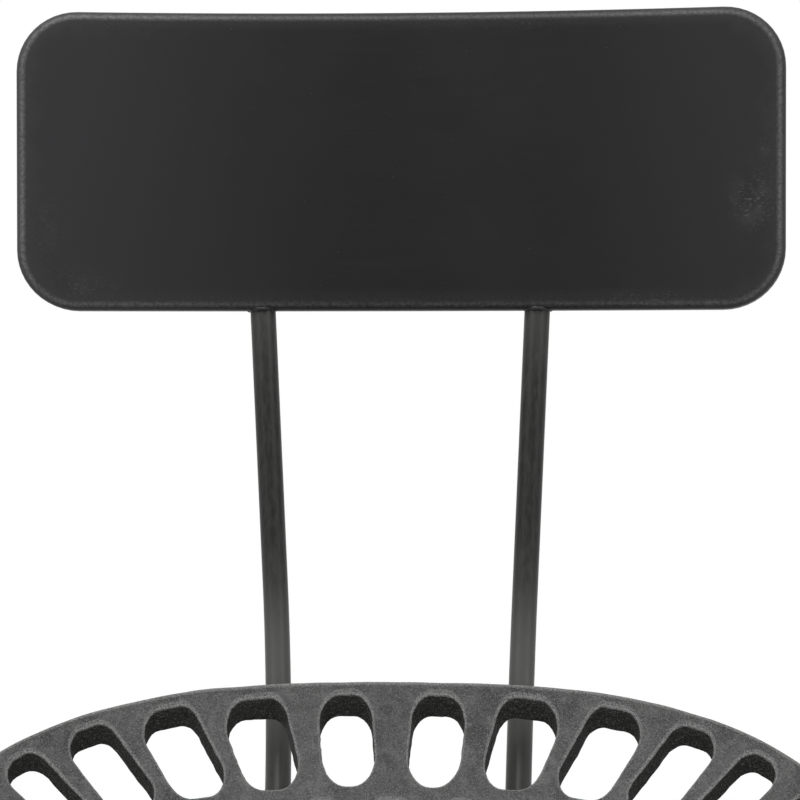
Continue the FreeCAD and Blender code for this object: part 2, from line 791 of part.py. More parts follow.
def make_rods():
    first_run, start, direction = rod_upper_run()
    panel_floor = size("seat_height") + size("panel_rise")
    rise = panel_floor + size("rod_in_panel") - rod_frame(1).Base.z - start.z
    put("rod_first_run", first_run)
    put("rod_second_run", rise / direction.z)
    put("rod_turn", 90 - size("panel_lean"))
    formulas = ["Sizes.rod_first_run", "Sizes.rod_bend_radius", "Sizes.rod_turn", "Sizes.rod_second_run"]
    for side, label in ((-1, "back_rod_left"), (1, "back_rod_right")):
        name = "Rod" + label.split("_")[-1].title()
        body = new_body(name)
        section = new_sketch(body, "XZ_Plane", name + "Section")
        circle(section, "Sizes.rod_radius", size("rod_radius"))
        path = bent_path(body, first_run, size("rod_second_run"), size("rod_bend_radius"),
                         size("rod_turn"), formulas, name + "Path")
        pipe(body, section, path, name + "Bar")
        node(body, label, rod_frame(side))


# The backrest is a shallow pressed tray: a skin curved about an upright axis in front of it,
# rounded corners, a soft front edge and a return flange all round, open behind.

def panel_frame():
    """The panel's bottom middle, so placed that its skin just clears the front of both rods."""
    first_run, start, direction = rod_upper_run()
    floor = size("seat_height") + size("panel_rise")
    reach = (floor - rod_frame(1).Base.z - start.z) / direction.z
    on_rod = rod_frame(1).multVec(start + direction * reach)
    skin_to_axis = size("panel_radius") + size("panel_sheet") + size("rod_radius") + size("rod_standoff")
    behind = math.sqrt(skin_to_axis ** 2 - on_rod.x ** 2) - size("panel_radius")
    lean = Rotation(X_AXIS, -size("panel_lean"))
    return Placement(Vector(0, on_rod.y, floor) - lean.multVec(Y_AXIS) * behind, lean)


def make_panel():
    radius = put("panel_radius", (size("panel_arc_width") / 2) ** 2 / (2 * size("panel_sagitta")))
    half_angle = size("panel_arc_width") / 2 / radius
    put("panel_half_chord", radius * math.sin(half_angle))
    body = new_body("BackrestPanel")
    sketch = new_sketch(body, "XY_Plane", "BackrestPlan")
    middle = Vector(0, -radius, 0)
    spans = (math.pi / 2 - half_angle, math.pi / 2 + half_angle)
    front = Part.ArcOfCircle(Part.Circle(middle, Z_AXIS, radius), *spans)
    rear = Part.ArcOfCircle(Part.Circle(middle, Z_AXIS, radius + size("panel_depth")), *spans)
    sketch.addGeometry(front, False)
    sketch.addGeometry(rear, False)
    sketch.addGeometry(Part.LineSegment(front.StartPoint, rear.StartPoint), False)
    sketch.addGeometry(Part.LineSegment(front.EndPoint, rear.EndPoint), False)
    for arc, point, side in ((0, 1, 2), (0, 2, 3)):
        sketch.addConstraint(Sketcher.Constraint("Coincident", arc, point, side, 1))
        sketch.addConstraint(Sketcher.Constraint("Coincident", arc + 1, point, side, 2))
        sketch.addConstraint(Sketcher.Constraint("PointOnObject", 0, 3, side))
    sketch.addConstraint(Sketcher.Constraint("Coincident", 0, 3, 1, 3))
    sketch.addConstraint(Sketcher.Constraint("Symmetric", 0, 1, 0, 2, -2))
    constrain(sketch, "Radius", "Sizes.panel_radius", 0, radius)
    constrain(sketch, "Radius", "Sizes.panel_radius + Sizes.panel_depth", 1,
              radius + size("panel_depth"))
    constrain(sketch, "DistanceY", "Sizes.panel_radius", 0, 3, -1, 1, radius)
    constrain(sketch, "DistanceX", "Sizes.panel_half_chord", -1, 1, 0, 1, size("panel_half_chord"))
    pad = body.newObject("PartDesign::Pad", "BackrestBlock")
    pad.Profile = sketch
    bind(pad, Length="Sizes.panel_height")
    doc.recompute()

    def on_front(edge):
        reaches = [math.hypot(vertex.Point.x, vertex.Point.y + radius) for vertex in edge.Vertexes]
        return all(abs(reach - radius) < TOLERANCE for reach in reaches)

    def on_rear(face):
        curved = face.Surface.TypeId == "Part::GeomCylinder"
        return curved and abs(face.Surface.Radius - radius - size("panel_depth")) < TOLERANCE

    def at_corner(edge):
        return is_straight(edge) and not is_upright(edge)

    rounded = body.newObject("PartDesign::Fillet", "BackrestCorners")
    rounded.Base = (pad, ["Edge%d" % number for number in numbers(pad.Shape.Edges, at_corner)])
    bind(rounded, Radius="Sizes.panel_corner_radius")
    doc.recompute()
    rim = body.newObject("PartDesign::Fillet", "BackrestFrontEdge")
    rim.Base = (rounded, ["Edge%d" % number for number in numbers(rounded.Shape.Edges, on_front)])
    bind(rim, Radius="Sizes.panel_edge_radius")
    doc.recompute()
    tray = body.newObject("PartDesign::Thickness", "BackrestTray")
    tray.Base = (rim, ["Face%d" % number for number in numbers(rim.Shape.Faces, on_rear)])
    tray.Reversed = True
    bind(tray, Value="Sizes.panel_sheet")
    doc.recompute()
    if not tray.Shape.Volume < TRAY_SHARE * rim.Shape.Volume:
        raise RuntimeError("the backrest was not hollowed out")
    body.Placement = panel_frame()

    first_run, start, direction = rod_upper_run()
    holes = []
    for side, name in ((-1, "RodHoleLeft"), (1, "RodHoleRight")):
        frame = rod_frame(side)
        hole = cylinder(name, "Sizes.rod_radius + Sizes.running_gap",
                        "Sizes.rod_second_run + Sizes.rod_radius",
                        frame.multVec(start), frame.Rotation.multVec(direction))
        holes.append(hole)
    panel = boolean("Cut", "BackrestWithHoles", body, fuse("RodHoles", holes))
    node(panel, "backrest_panel")


# The hub is a casting with a long bore for the spindle and four lugs. Each lug is hollowed to a
# saddle that the top of a leg lies in, held by two bolts through the tube.

def radial(azimuth):
    return Vector(math.sin(math.radians(azimuth)), -math.cos(math.radians(azimuth)), 0)


def leg_bolt_heights():
    upper = size("leg_top") - size("leg_bolt_upper")
    return (upper, upper - size("leg_bolt_pitch"))


def make_hub():
    body = new_body("Hub")
    bore = size("spindle_radius") + size("running_gap")
    bore_formula = "Sizes.spindle_radius + Sizes.running_gap"
    tall, wide, collar = size("hub_height"), size("hub_radius"), size("hub_collar_radius")
    step = tall - size("hub_collar_height")
    step_formula = "Sizes.hub_height - Sizes.hub_collar_height"
    edge = size("hub_chamfer")
    revolved(body, [
        corner(bore_formula, "0", bore, 0),
        corner("Sizes.hub_radius - Sizes.hub_chamfer", "0", wide - edge, 0),
        corner("Sizes.hub_radius", "Sizes.hub_chamfer", wide, edge),
        corner("Sizes.hub_radius", step_formula, wide, step),
        corner("Sizes.hub_collar_radius", step_formula, collar, step),
        corner("Sizes.hub_collar_radius", "Sizes.hub_height - Sizes.hub_chamfer", collar, tall - edge),
        corner("Sizes.hub_collar_radius - Sizes.hub_chamfer", "Sizes.hub_height", collar - edge, tall),
        corner(bore_formula, "Sizes.hub_height", bore, tall),
    ], "HubTurned")
    lug_sketch = new_sketch(body, "XY_Plane", "HubLugSketch")
    lug_sketch.AttachmentOffset = Placement(Vector(0, 0, step - size("lug_height")), Rotation())
    half, reach, root = size("lug_width") / 2, size("lug_reach"), size("lug_root")
    polygon(lug_sketch, [
        corner("Sizes.lug_root", "-Sizes.lug_width / 2", root, -half),
        corner("Sizes.lug_reach", "-Sizes.lug_width / 2", reach, -half),
        corner("Sizes.lug_reach", "Sizes.lug_width / 2", reach, half),
        corner("Sizes.lug_root", "Sizes.lug_width / 2", root, half),
    ])
    lug = body.newObject("PartDesign::Pad", "HubLug")
    lug.Profile = lug_sketch
    bind(lug, Length="Sizes.lug_height")
    saddle_sketch = new_sketch(body, "XY_Plane", "HubSaddleSketch")
    circle(saddle_sketch, "Sizes.leg_radius + Sizes.running_gap",
           size("leg_radius") + size("running_gap"),
           corner("Sizes.leg_spacing", "0.0", size("leg_spacing"), 0.0))
    saddle = body.newObject("PartDesign::Pocket", "HubSaddle")
    saddle.Profile = saddle_sketch
    saddle.Type = "Length"
    saddle.Reversed = True
    bind(saddle, Length=step_formula)
    hole_sketch = new_sketch(body, "YZ_Plane", "HubThreadSketch")
    hole_sketch.AttachmentOffset = Placement(Vector(0, 0, size("leg_bolt_end")), Rotation())
    upper_formula = "Sizes.leg_top - Sizes.leg_bolt_upper - Sizes.hub_top + Sizes.hub_height"
    for index, height in enumerate(leg_bolt_heights()):
        height_formula = "%s - %d * Sizes.leg_bolt_pitch" % (upper_formula, index)
        circle(hole_sketch, "Sizes.bolt_radius + Sizes.running_gap",
               size("bolt_radius") + size("running_gap"),
               corner("0.0", height_formula, 0.0, height - hub_floor()))
    thread = body.newObject("PartDesign::Pocket", "HubThreads")
    thread.Profile = hole_sketch
    thread.Type = "Length"
    thread.Reversed = True
    bind(thread, Length="Sizes.lug_reach")
    pattern = body.newObject("PartDesign::PolarPattern", "HubLugs")
    pattern.Originals = [lug, saddle, thread]
    pattern.Axis = (lug_sketch, ["N_Axis"])
    pattern.Angle = 360
    pattern.Occurrences = len(LEG_AZIMUTHS)
    body.Tip = pattern
    node(body, "hub", Placement(Vector(0, 0, hub_floor()), Rotation(Z_AXIS, LEG_AZIMUTHS[0])))


# A leg drops straight past its lug, bends outwards and runs down to a rubber foot.

def leg_frame(azimuth):
    """The frame of a leg's centre line: it starts downwards and bends towards the outside."""
    outward = radial(azimuth)
    turned = Rotation(outward.cross(Z_AXIS), -Z_AXIS, outward, "ZYX")
    return Placement(outward * size("leg_spacing") + Z_AXIS * size("leg_top"), turned)


def leg_lower_run():
    slope = math.radians(size("leg_slope"))
    bend = size("leg_bend_radius")
    start = Vector(0, size("leg_straight") + bend * math.sin(slope), bend * (1 - math.cos(slope)))
    return start, Vector(0, math.cos(slope), math.sin(slope))


def footrest_seat():
    """Where the footrest ring touches a leg: a point on the leg's centre line, the direction from
    there to the middle of the ring's bar, both in the leg's frame, and the ring's radius."""
    start, direction = leg_lower_run()
    outward = Vector(0, -direction.z, direction.y)
    gap = size("leg_radius") + size("footrest_radius") + size("running_gap")
    drop = size("leg_top") - size("footrest_height")
    point = start + direction * ((drop - start.y - outward.y * gap) / direction.y)
    ring_radius = size("leg_spacing") + (point + outward * gap).z
    return point, outward, ring_radius


def make_legs():
    start, direction = leg_lower_run()
    formulas = ["Sizes.leg_straight", "Sizes.leg_bend_radius", "Sizes.leg_slope", "Sizes.leg_run"]
    point, outward, ring_radius = footrest_seat()
    for number, azimuth in enumerate(LEG_AZIMUTHS, start=1):
        frame = leg_frame(azimuth)
        name = "Leg%d" % number
        body = new_body(name + "Tube")
        section = new_sketch(body, "XZ_Plane", name + "Section")
        circle(section, "Sizes.leg_radius", size("leg_radius"))
        circle(section, "Sizes.leg_radius - Sizes.leg_wall", size("leg_radius") - size("leg_wall"))
        path = bent_path(body, size("leg_straight"), size("leg_run"), size("leg_bend_radius"),
                         size("leg_slope"), formulas, name + "Path")
        pipe(body, section, path, name + "Sweep")
        body.Placement = frame
        holes = []
        for index, height in enumerate(leg_bolt_heights()):
            inside = size("leg_spacing") - 2 * size("leg_radius")
            at = radial(azimuth) * inside + Z_AXIS * height
            holes.append(cylinder("%sBoltHole%d" % (name, index),
                                  "Sizes.bolt_radius + 2 * Sizes.running_gap",
                                  "4 * Sizes.leg_radius", at, radial(azimuth)))
        at = frame.multVec(point - outward * 2 * size("leg_radius"))
        holes.append(cylinder(name + "ScrewHole", "Sizes.screw_radius + 2 * Sizes.running_gap",
                              "4 * Sizes.leg_radius", at, frame.Rotation.multVec(outward)))
        leg = boolean("Cut", name, body, fuse(name + "Holes", holes))
        node(leg, "leg_%d" % number)
        make_foot(number, frame, start + direction * size("leg_run"), direction)


def make_foot(number, frame, tip, direction):
    """A rubber foot in line with the leg, cut flat where it stands on the floor."""
    name = "Foot%d" % number
    body = new_body(name + "Boot")
    bore, grip, sole = size("leg_radius") + size("running_gap"), size("foot_grip"), size("foot_sole")
    outer, flare, lip = size("foot_radius"), size("foot_flare"), size("foot_lip")
    bore_formula = "Sizes.leg_radius + Sizes.running_gap"
    revolved(body, [
        corner("0", "-Sizes.foot_sole", 0, -sole),
        corner("Sizes.foot_flare", "-Sizes.foot_sole", flare, -sole),
        corner("Sizes.foot_flare", "0.0", flare, 0),
        corner("Sizes.foot_radius", "Sizes.foot_grip - Sizes.foot_lip", outer, grip - lip),
        corner("Sizes.foot_radius - Sizes.foot_lip / 2", "Sizes.foot_grip", outer - lip / 2, grip),
        corner(bore_formula, "Sizes.foot_grip", bore, grip),
        corner(bore_formula, "-Sizes.running_gap", bore, -size("running_gap")),
        corner("0", "-Sizes.running_gap", 0, -size("running_gap")),
    ], name + "Turned")
    upwards = Rotation(Z_AXIS, -frame.Rotation.multVec(direction))
    body.Placement = Placement(frame.multVec(tip), upwards)
    below_floor = doc.addObject("Part::Box", name + "Floor")
    below_floor.Length = below_floor.Width = FLOOR_WIDTH
    below_floor.Height = FLOOR_DEPTH
    below_floor.Placement.Base = Vector(-FLOOR_WIDTH / 2, -FLOOR_WIDTH / 2, -FLOOR_DEPTH)
    node(boolean("Cut", name, body, below_floor), "foot_cap_%d" % number)


def make_leg_fasteners():
    length = ("Sizes.leg_spacing + Sizes.leg_radius + Sizes.saddle_thickness"
              " - Sizes.leg_bolt_end - Sizes.screw_run_out")
    bolt = hex_screw("LegBolt", "Sizes.bolt_radius", length, "Sizes.nut_corner_radius",
                     "Sizes.leg_head_height")
    disc = cylinder("LegWasherDisc", "Sizes.washer_radius", "Sizes.saddle_depth", direction=-Z_AXIS)
    hole = cylinder("LegWasherHole", "Sizes.bolt_radius + 2 * Sizes.running_gap", "Sizes.saddle_depth",
                    direction=-Z_AXIS)
    tube_axis = size("leg_radius") + size("saddle_thickness")
    tube = cylinder("LegWasherTube", "Sizes.leg_radius + Sizes.running_gap", "4 * Sizes.leg_radius",
                    Vector(-2 * size("leg_radius"), 0, -tube_axis), X_AXIS)
    washer = boolean("Cut", "LegWasherMaster", disc, fuse("LegWasherCuts", [hole, tube]))
    places = []
    for azimuth in LEG_AZIMUTHS:
        outward = radial(azimuth)
        turned = Rotation(Z_AXIS, outward.cross(-Z_AXIS), outward, "ZXY")
        for height in leg_bolt_heights():
            at = outward * (size("leg_spacing") + tube_axis) + Z_AXIS * height
            places.append(Placement(at, turned))
    copies("leg_bolts", bolt, places)
    copies("leg_washers", washer, places)


def make_footrest():
    point, outward, ring_radius = footrest_seat()
    put("footrest_ring_radius", ring_radius)
    ring = doc.addObject("Part::Torus", "FootrestBar")
    bind(ring, Radius1="Sizes.footrest_ring_radius", Radius2="Sizes.footrest_radius")
    ring.Placement = Placement(Vector(0, 0, size("footrest_height")), Rotation())
    length = "2 * Sizes.leg_radius + Sizes.footrest_radius + Sizes.screw_grip"
    screw = domed_screw("FootrestScrew", "Sizes.screw_radius", length,
                        "Sizes.screw_head_radius", "Sizes.screw_head_height")
    holes = []
    places = []
    for number, azimuth in enumerate(LEG_AZIMUTHS, start=1):
        frame = leg_frame(azimuth)
        direction = frame.Rotation.multVec(outward)
        inner_side = frame.multVec(point - outward * size("leg_radius"))
        places.append(Placement(inner_side, Rotation(Z_AXIS, -direction)))
        holes.append(cylinder("FootrestHole%d" % number, "Sizes.screw_radius + Sizes.running_gap",
                              length + " + Sizes.screw_run_out", inner_side, direction))
    node(boolean("Cut", "FootrestRing", ring, fuse("FootrestHoles", holes)), "footrest_ring")
    copies("footrest_screws", screw, places)


def check_model():
    doc.recompute()
    for obj in doc.Objects:
        if "Invalid" in obj.State or "Error" in obj.State:
            raise RuntimeError("%s is %s" % (obj.Name, obj.State))
        if obj.TypeId in CUT_FROM:
            whole = getattr(obj, CUT_FROM[obj.TypeId])
            if not obj.Shape.Volume < whole.Shape.Volume:
                raise RuntimeError("%s cuts nothing" % obj.Name)
    for piece in nodes:
        if piece.Shape.isNull() or not piece.Shape.isValid() or not piece.Shape.Solids:
            raise RuntimeError("%s has no valid solid" % piece.Label)


def main():
    fill_sheet()
    make_seat()
    make_seat_fasteners()
    make_back_bracket()
    make_spindle_flange()
    make_spindle()
    make_stop()
    make_rods()
    make_panel()
    make_hub()
    make_legs()
    make_leg_fasteners()
    make_footrest()
    check_model()
    os.makedirs("parts", exist_ok=True)
    for piece in nodes:
        piece.Shape.exportStep(os.path.join("parts", piece.Label + ".step"))


main()
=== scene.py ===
import json
import math

import bmesh
import bpy
import numpy as np
from mathutils import Matrix, Vector, noise
from mathutils.geometry import delaunay_2d_cdt


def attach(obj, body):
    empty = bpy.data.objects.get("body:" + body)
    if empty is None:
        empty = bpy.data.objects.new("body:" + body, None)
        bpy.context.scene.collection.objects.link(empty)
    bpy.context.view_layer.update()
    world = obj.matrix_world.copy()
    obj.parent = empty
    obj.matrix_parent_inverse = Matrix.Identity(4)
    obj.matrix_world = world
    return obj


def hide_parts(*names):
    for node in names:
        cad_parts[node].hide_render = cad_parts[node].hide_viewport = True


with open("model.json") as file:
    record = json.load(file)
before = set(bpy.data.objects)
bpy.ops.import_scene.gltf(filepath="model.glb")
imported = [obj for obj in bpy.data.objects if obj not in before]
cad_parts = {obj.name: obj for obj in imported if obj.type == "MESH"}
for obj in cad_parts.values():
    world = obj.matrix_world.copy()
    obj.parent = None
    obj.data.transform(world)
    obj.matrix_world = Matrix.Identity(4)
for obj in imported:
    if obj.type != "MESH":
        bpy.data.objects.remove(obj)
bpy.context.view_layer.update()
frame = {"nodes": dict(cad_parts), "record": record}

MM = 0.001

# Sizes are in millimetres, and y counts from the spindle's axis until a piece is finished.
SETBACK = -73.9
SEAT_HEIGHT = 660.0

# Seat: a dished oval, higher behind, with a notch and a raised middle in front and a boss below.
HALF_WIDTH, REAR, FRONT, POWER = 222.0, 190.0, 178.0, 2.83
RIM_REAR, RIM_FRONT, RIM_FALL = 90.0, -16.0, 0.785
PAD, DISH = 0.24, 1.95
NOTCH, NOTCH_WIDTH = 22.0, 38.0
POMMEL, POMMEL_WIDTH, POMMEL_START, POMMEL_END = 14.0, 34.0, 60.0, 150.0
CASTING, BOSS_RADIUS, BOSS_DEPTH, BOSS_BLEND = 8.0, 46.0, 4.5, 1.5
BOLT_OFFSET, BOLT_HOLE = 26.0, 4.2

# Slots: the point that they fan out from, the ribs between them and the band outside them.
FAN, RIB, RIM_BAND, TAPER_LENGTH = 30.0, 10.0, 5.6, 33.0
# Rows of slots: inner ring, outer ring and corner radii; the outer row reaches to the rim band.
ROWS = ((0.82, None, 12.5, 9.0), (0.62, 0.792, 7.0, 9.0), (0.43, 0.575, 7.0, 10.0))
# Slots of a quarter of the outer row: share of the quarter's rim, bearing, outer and inner width.
QUARTER_SLOTS = (
    (0.069, 8.0, 25.4, 24.8), (0.204, 27.5, 31.0, 25.0), (0.331, 42.2, 26.0, 24.0),
    (0.444, 52.3, 22.5, 21.5), (0.545, 62.0, 20.5, 18.0), (0.646, 70.0, 20.5, 18.0),
    (0.747, 77.0, 20.5, 18.0), (0.848, 82.5, 20.5, 18.0), (0.949, 87.5, 20.5, 18.0),
)

# How the casting leaves its plain shape: rounded lips, wider on the rim behind, a bead on the rim,
# waves and a grain given by height and length, and a slight turn in degrees on its bolts.
RIM_LIP, RIM_LIP_MORE, RIM_LIP_CHANGE, SLOT_LIP, BOLT_LIP = 1.2, 0.6, 60, 1.3, 0.3
RIM_BEAD, BEAD_RING = 1.4, 0.972
LONG_WAVE, SHORT_WAVE, WAVES_DOWN = (0.35, 38), (0.2, 13), 0.1
GRAIN_HEIGHT, GRAIN_LENGTH = 0.3, 2.6
BOLTED_RADIUS, FREE_RADIUS = 50.0, 90.0
SEAT_TURN, SEAT_SHRINK = 0.6, 0.001
# Marks on the casting's edges: wear down a lip, on the face beside it, and painted shade on the rim's wall
# and the underside.
LIP_WEAR = (0.8, 1.0, 0.5, 0.0)
FACE_WEAR, RIM_SHADE, UNDER_SHADE = 0.1, 0.25, 0.5

# Plate under the seat, and how its edges are eased.
PLATE, PLATE_HALF, PLATE_REAR, PLATE_FRONT, PLATE_CORNER = 6.0, 66.0, 46.0, -74.0, 14.0
PLATE_EASE, PLATE_FACET = 0.6, 0.18
PLATE_FLOOR = SEAT_HEIGHT - CASTING - BOSS_DEPTH - PLATE

# Rods: level under the plate, then bent up to the panel, in planes that lean sideways.
LEAN = math.radians(15)
ROD_RADIUS, ROD_BEND, ROD_REACH, ROD_OVERHANG, ROD_CHAMFER = 6.35, 200.0, 201.4, 70.0, 0.8
ROD_SPACING, ROD_SPLAY, ROD_IN_PANEL, ROD_GAP = 56.0, 2.58, 108.0, 0.05
ROD_LEVEL = PLATE_FLOOR - ROD_RADIUS - ROD_GAP
ROD_TURN = math.pi / 2 - LEAN
ROD_LEVEL_RUN = ROD_OVERHANG + ROD_REACH - ROD_BEND * math.tan(ROD_TURN / 2)
ROD_AHEAD = np.array([0, math.cos(ROD_TURN), math.sin(ROD_TURN)])
# Painted highlight on the rods just above the seat's rim, and paler paint just under the panel:
# how strong, and the heights where each starts and is full, and where the highlight thins out and ends.
ROD_HIGHLIGHT, ROD_PALE_TOP = 0.95, 0.45
ROD_HIGHLIGHT_START, ROD_HIGHLIGHT_FULL, ROD_HIGHLIGHT_FADE, ROD_HIGHLIGHT_END = 640, 740, 745, 800
ROD_PALE_TOP_START, ROD_PALE_TOP_FULL = 860, 912

# Panel: a tray of sheet, bent round a wide radius, that stands in front of the rods.
PANEL_WIDTH, PANEL_HEIGHT, PANEL_CORNER, PANEL_EDGE = 378.0, 148.0, 30.0, 5.0
PANEL_DEPTH, PANEL_SHEET, PANEL_SAGITTA, PANEL_RISE = 16.0, 2.0, 14.0, 252.9
PANEL_RADIUS = (PANEL_WIDTH / 2) ** 2 / (2 * PANEL_SAGITTA)
PANEL_FLOOR = SEAT_HEIGHT + PANEL_RISE
PANEL_GAP, FLANGE_EASE = 0.1, 0.5
# Steps round a corner of the panel, up its sides and along its top and bottom.
CORNER_STEPS, SIDE_STEPS, LENGTH_STEPS = 12, 12, 40
# Painted highlight along the rolled edge from the front to the side, and along the flange.
EDGE_HIGHLIGHT = (0.1, 0.45, 1.0, 0.8, 0.35, 0.15, 0.05, 0.05, 0.1)
FLANGE_HIGHLIGHT = (0.1, 0.3, 0.3, 0.1)
# Painted reflection, paler towards the ends: how strong, and how far across it starts and is full.
REFLECTION_LEFT, REFLECTION_RIGHT = (0.75, 20, 200), (0.5, 60, 200)
# Scuffed places on the panel: where across and up, how wide and high, how strong.
SCUFFS = (
    (174, 52, 9, 11, 1.0), (181, 84, 4, 26, 0.45), (120, 5, 26, 3, 0.6), (-176, 40, 8, 14, 0.35),
    (-158, 12, 16, 6, 0.45), (-100, 7, 30, 3, 0.3), (60, 142, 60, 3, 0.3), (-140, 141, 40, 3, 0.35),
)

# Screw: the thread's depth and lead, and the lengths over which it starts and ends.
SCREW_RADIUS, SCREW_FLOOR, SCREW_CHAMFER, SCREW_SIDES = 15.0, 404.0, 2.0, 48
THREAD_DEPTH, THREAD_LEAD, THREAD_STEPS, THREAD_TOP = 3.2, 8.0, 12, 616.0
THREAD_FLANK, THREAD_CREST = 4, 0.35
THREAD_START, THREAD_FULL, THREAD_FADE = 3, 8, 6

# Welds: radius of the string of metal, where it lies against the rod, and points along it.
PANEL_WELD, PANEL_WELD_RISE, PANEL_WELD_GAP, PANEL_WELD_HALF_TURN, PANEL_WELD_POINTS = 1.3, 1.2, 0.3, 1.5, 19
PLATE_WELD, PLATE_WELD_DROP, PLATE_WELD_SIDE, PLATE_WELD_POINTS = 1.6, 1.9, 0.72, 40
PLATE_WELD_START, PLATE_WELD_END = 10, 110
WELD_SIDES, WELD_TAPER = 12, 0.4
WELD_LUMP, WELD_LUMP_PACE, WELD_UNEVEN, WELD_UNEVEN_LENGTH = 0.22, 1.9, 0.1, 3.0

# Spacing of the points inside a face, of their rows, and how near an edge they may come, as shares.
SEAT_GRID, PANEL_GRID, PLATE_GRID = 6.0, 7.0, 8.0
GRID_ROW, GRID_GAP = 0.866, 0.6
# Halvings when a ring is searched, and where a search across the rim starts and ends.
HALVINGS, OUTSIDE_RIM, SEARCH_LENGTH = 30, 25.0, 190.0

# Camera, fitted to the photograph: degrees downwards, to the left and of tilt; place in metres.
CAMERA_FALL, CAMERA_YAW, CAMERA_ROLL = 15.692, 2.506, -0.697
CAMERA_SENSOR, CAMERA_LENS = 36, 90.48
CAMERA_PLACE = (0.04235, -0.7757, 1.14152)

# Studio, in metres and watts: each lamp's place, what it faces, its width, height and power.
LAMPS = (
    ("overhead", (-0.3, -0.35, 2.7), (0, 0.05, 0.7), 1.5, 1.2, 34),
    ("left", (-1.5, -1.2, 1.7), (0, 0, 0.8), 1.0, 1.2, 8),
    ("right", (1.6, -1.0, 1.6), (0, 0, 0.8), 1.0, 1.2, 9),
)
WORLD_LIGHT = 0.33
FLOOR_RADIUS, FLOOR_SIDES, WHITE_FROM, WHITE_TO = 4.0, 64, 0.55, 1.1


class Shape:
    """Points and faces of one mesh, in millimetres."""

    def __init__(self):
        self.points = []
        self.faces = []
        self.marks = {}

    def add(self, points, **marks):
        """New points; a mark such as wear is a value for each of them, or one for all."""
        start = len(self.points)
        self.points.extend(tuple(point) for point in points)
        added = range(start, len(self.points))
        for name, value in marks.items():
            numbers = np.broadcast_to(value, len(added))
            self.marks.setdefault(name, {}).update(zip(added, map(float, numbers)))
        return list(added)

    def mark(self, name):
        """A mark's value at every point, 0 where it wasn't given."""
        values = self.marks[name]
        return [values.get(index, 0.0) for index in range(len(self.points))]

    def strip(self, first, second):
        """Faces between two closed rings of points."""
        for index in range(len(first)):
            after = (index + 1) % len(first)
            self.faces.append((first[index], first[after], second[after], second[index]))

    def wall(self, ring, loops, last):
        """Faces from one ring through loops of new points, each with its marks, to a last ring."""
        for points, marks in loops:
            after = self.add(points, **marks)
            self.strip(ring, after)
            ring = after
        self.strip(ring, last)

    def cap(self, ring, flip=False):
        self.faces.append(tuple(reversed(ring)) if flip else tuple(ring))

    def build(self, name):
        mesh = bpy.data.meshes.new(name)
        mesh.from_pydata([Vector(point) * MM for point in self.points], [], self.faces)
        mesh.validate()
        mesh.polygons.foreach_set("use_smooth", [True] * len(mesh.polygons))
        for mark in self.marks:
            attribute = mesh.attributes.new(mark, "FLOAT", "POINT")
            attribute.data.foreach_set("value", self.mark(mark))
        mesh.update()
        piece = bpy.data.objects.new(name, mesh)
        bpy.context.scene.collection.objects.link(piece)
        return piece


# Seat surfaces

def reach(x, y):
    """How far the outline reaches behind or in front, where a notch is taken out of it."""
    notch = NOTCH * np.exp(-(x / NOTCH_WIDTH) ** 2)
    return np.where(y >= 0, REAR, FRONT - notch)


def fraction(x, y):
    """Which ring of the seat a place is on: 0 at the axis, 1 at the rim."""
    return ((np.abs(x) / HALF_WIDTH) ** POWER + (np.abs(y) / reach(x, y)) ** POWER) ** (1 / POWER)


def smooth(value, low, high):
    """Goes smoothly from 0 at low to 1 at high."""
    step = np.clip((value - low) / (high - low), 0, 1)
    return step * step * (3 - 2 * step)


def seat_top(x, y):
    part = np.maximum(fraction(x, y), 1e-6)
    rearward = np.clip(np.sign(y) * (np.abs(y) / (reach(x, y) * part)) ** (POWER / 2), -1, 1)
    rim = RIM_FRONT + (RIM_REAR - RIM_FRONT) * ((1 + rearward) / 2) ** RIM_FALL
    climb = np.maximum((part - PAD) / (1 - PAD), 0)
    pommel = POMMEL * np.exp(-(x / POMMEL_WIDTH) ** 2)
    return rim * climb ** DISH + pommel * smooth(-y, POMMEL_START, POMMEL_END)


def seat_bottom(x, y):
    step = 0.5
    slope_x = (seat_top(x + step, y) - seat_top(x - step, y)) / (2 * step)
    slope_y = (seat_top(x, y + step) - seat_top(x, y - step)) / (2 * step)
    under = seat_top(x, y) - CASTING * np.sqrt(1 + slope_x ** 2 + slope_y ** 2)
    boss = smooth(-np.hypot(x, y), -BOSS_RADIUS - BOSS_BLEND, -BOSS_RADIUS + BOSS_BLEND)
    return under * (1 - boss) + (-CASTING - BOSS_DEPTH) * boss


def seat_face(x, y):
    """The casting's upper face, with the slight bead along its rim."""
    return seat_top(x, y) + RIM_BEAD * smooth(fraction(x, y), BEAD_RING, 1.0)


def ring_points(azimuths, part, centre=FAN):
    """Points of one ring of the seat, in the directions asked for from a point on its midline."""
    near = np.zeros(len(azimuths))
    far = np.full(len(azimuths), 2 * HALF_WIDTH)
    for _ in range(HALVINGS):
        middle = (near + far) / 2
        within = fraction(middle * np.sin(azimuths), centre + middle * np.cos(azimuths)) < part
        near, far = np.where(within, middle, near), np.where(within, far, middle)
    return np.stack([near * np.sin(azimuths), centre + near * np.cos(azimuths)], 1)


def even_azimuths(part, count):
    """Directions of points that are evenly spaced along one ring of the seat."""
    steps = np.linspace(0, 2 * math.pi, 721)
    points = ring_points(steps, part)
    travelled = np.concatenate([[0], np.cumsum(np.hypot(*np.diff(points, axis=0).T))])
    return np.interp(np.arange(count) / count * travelled[-1], travelled, steps)


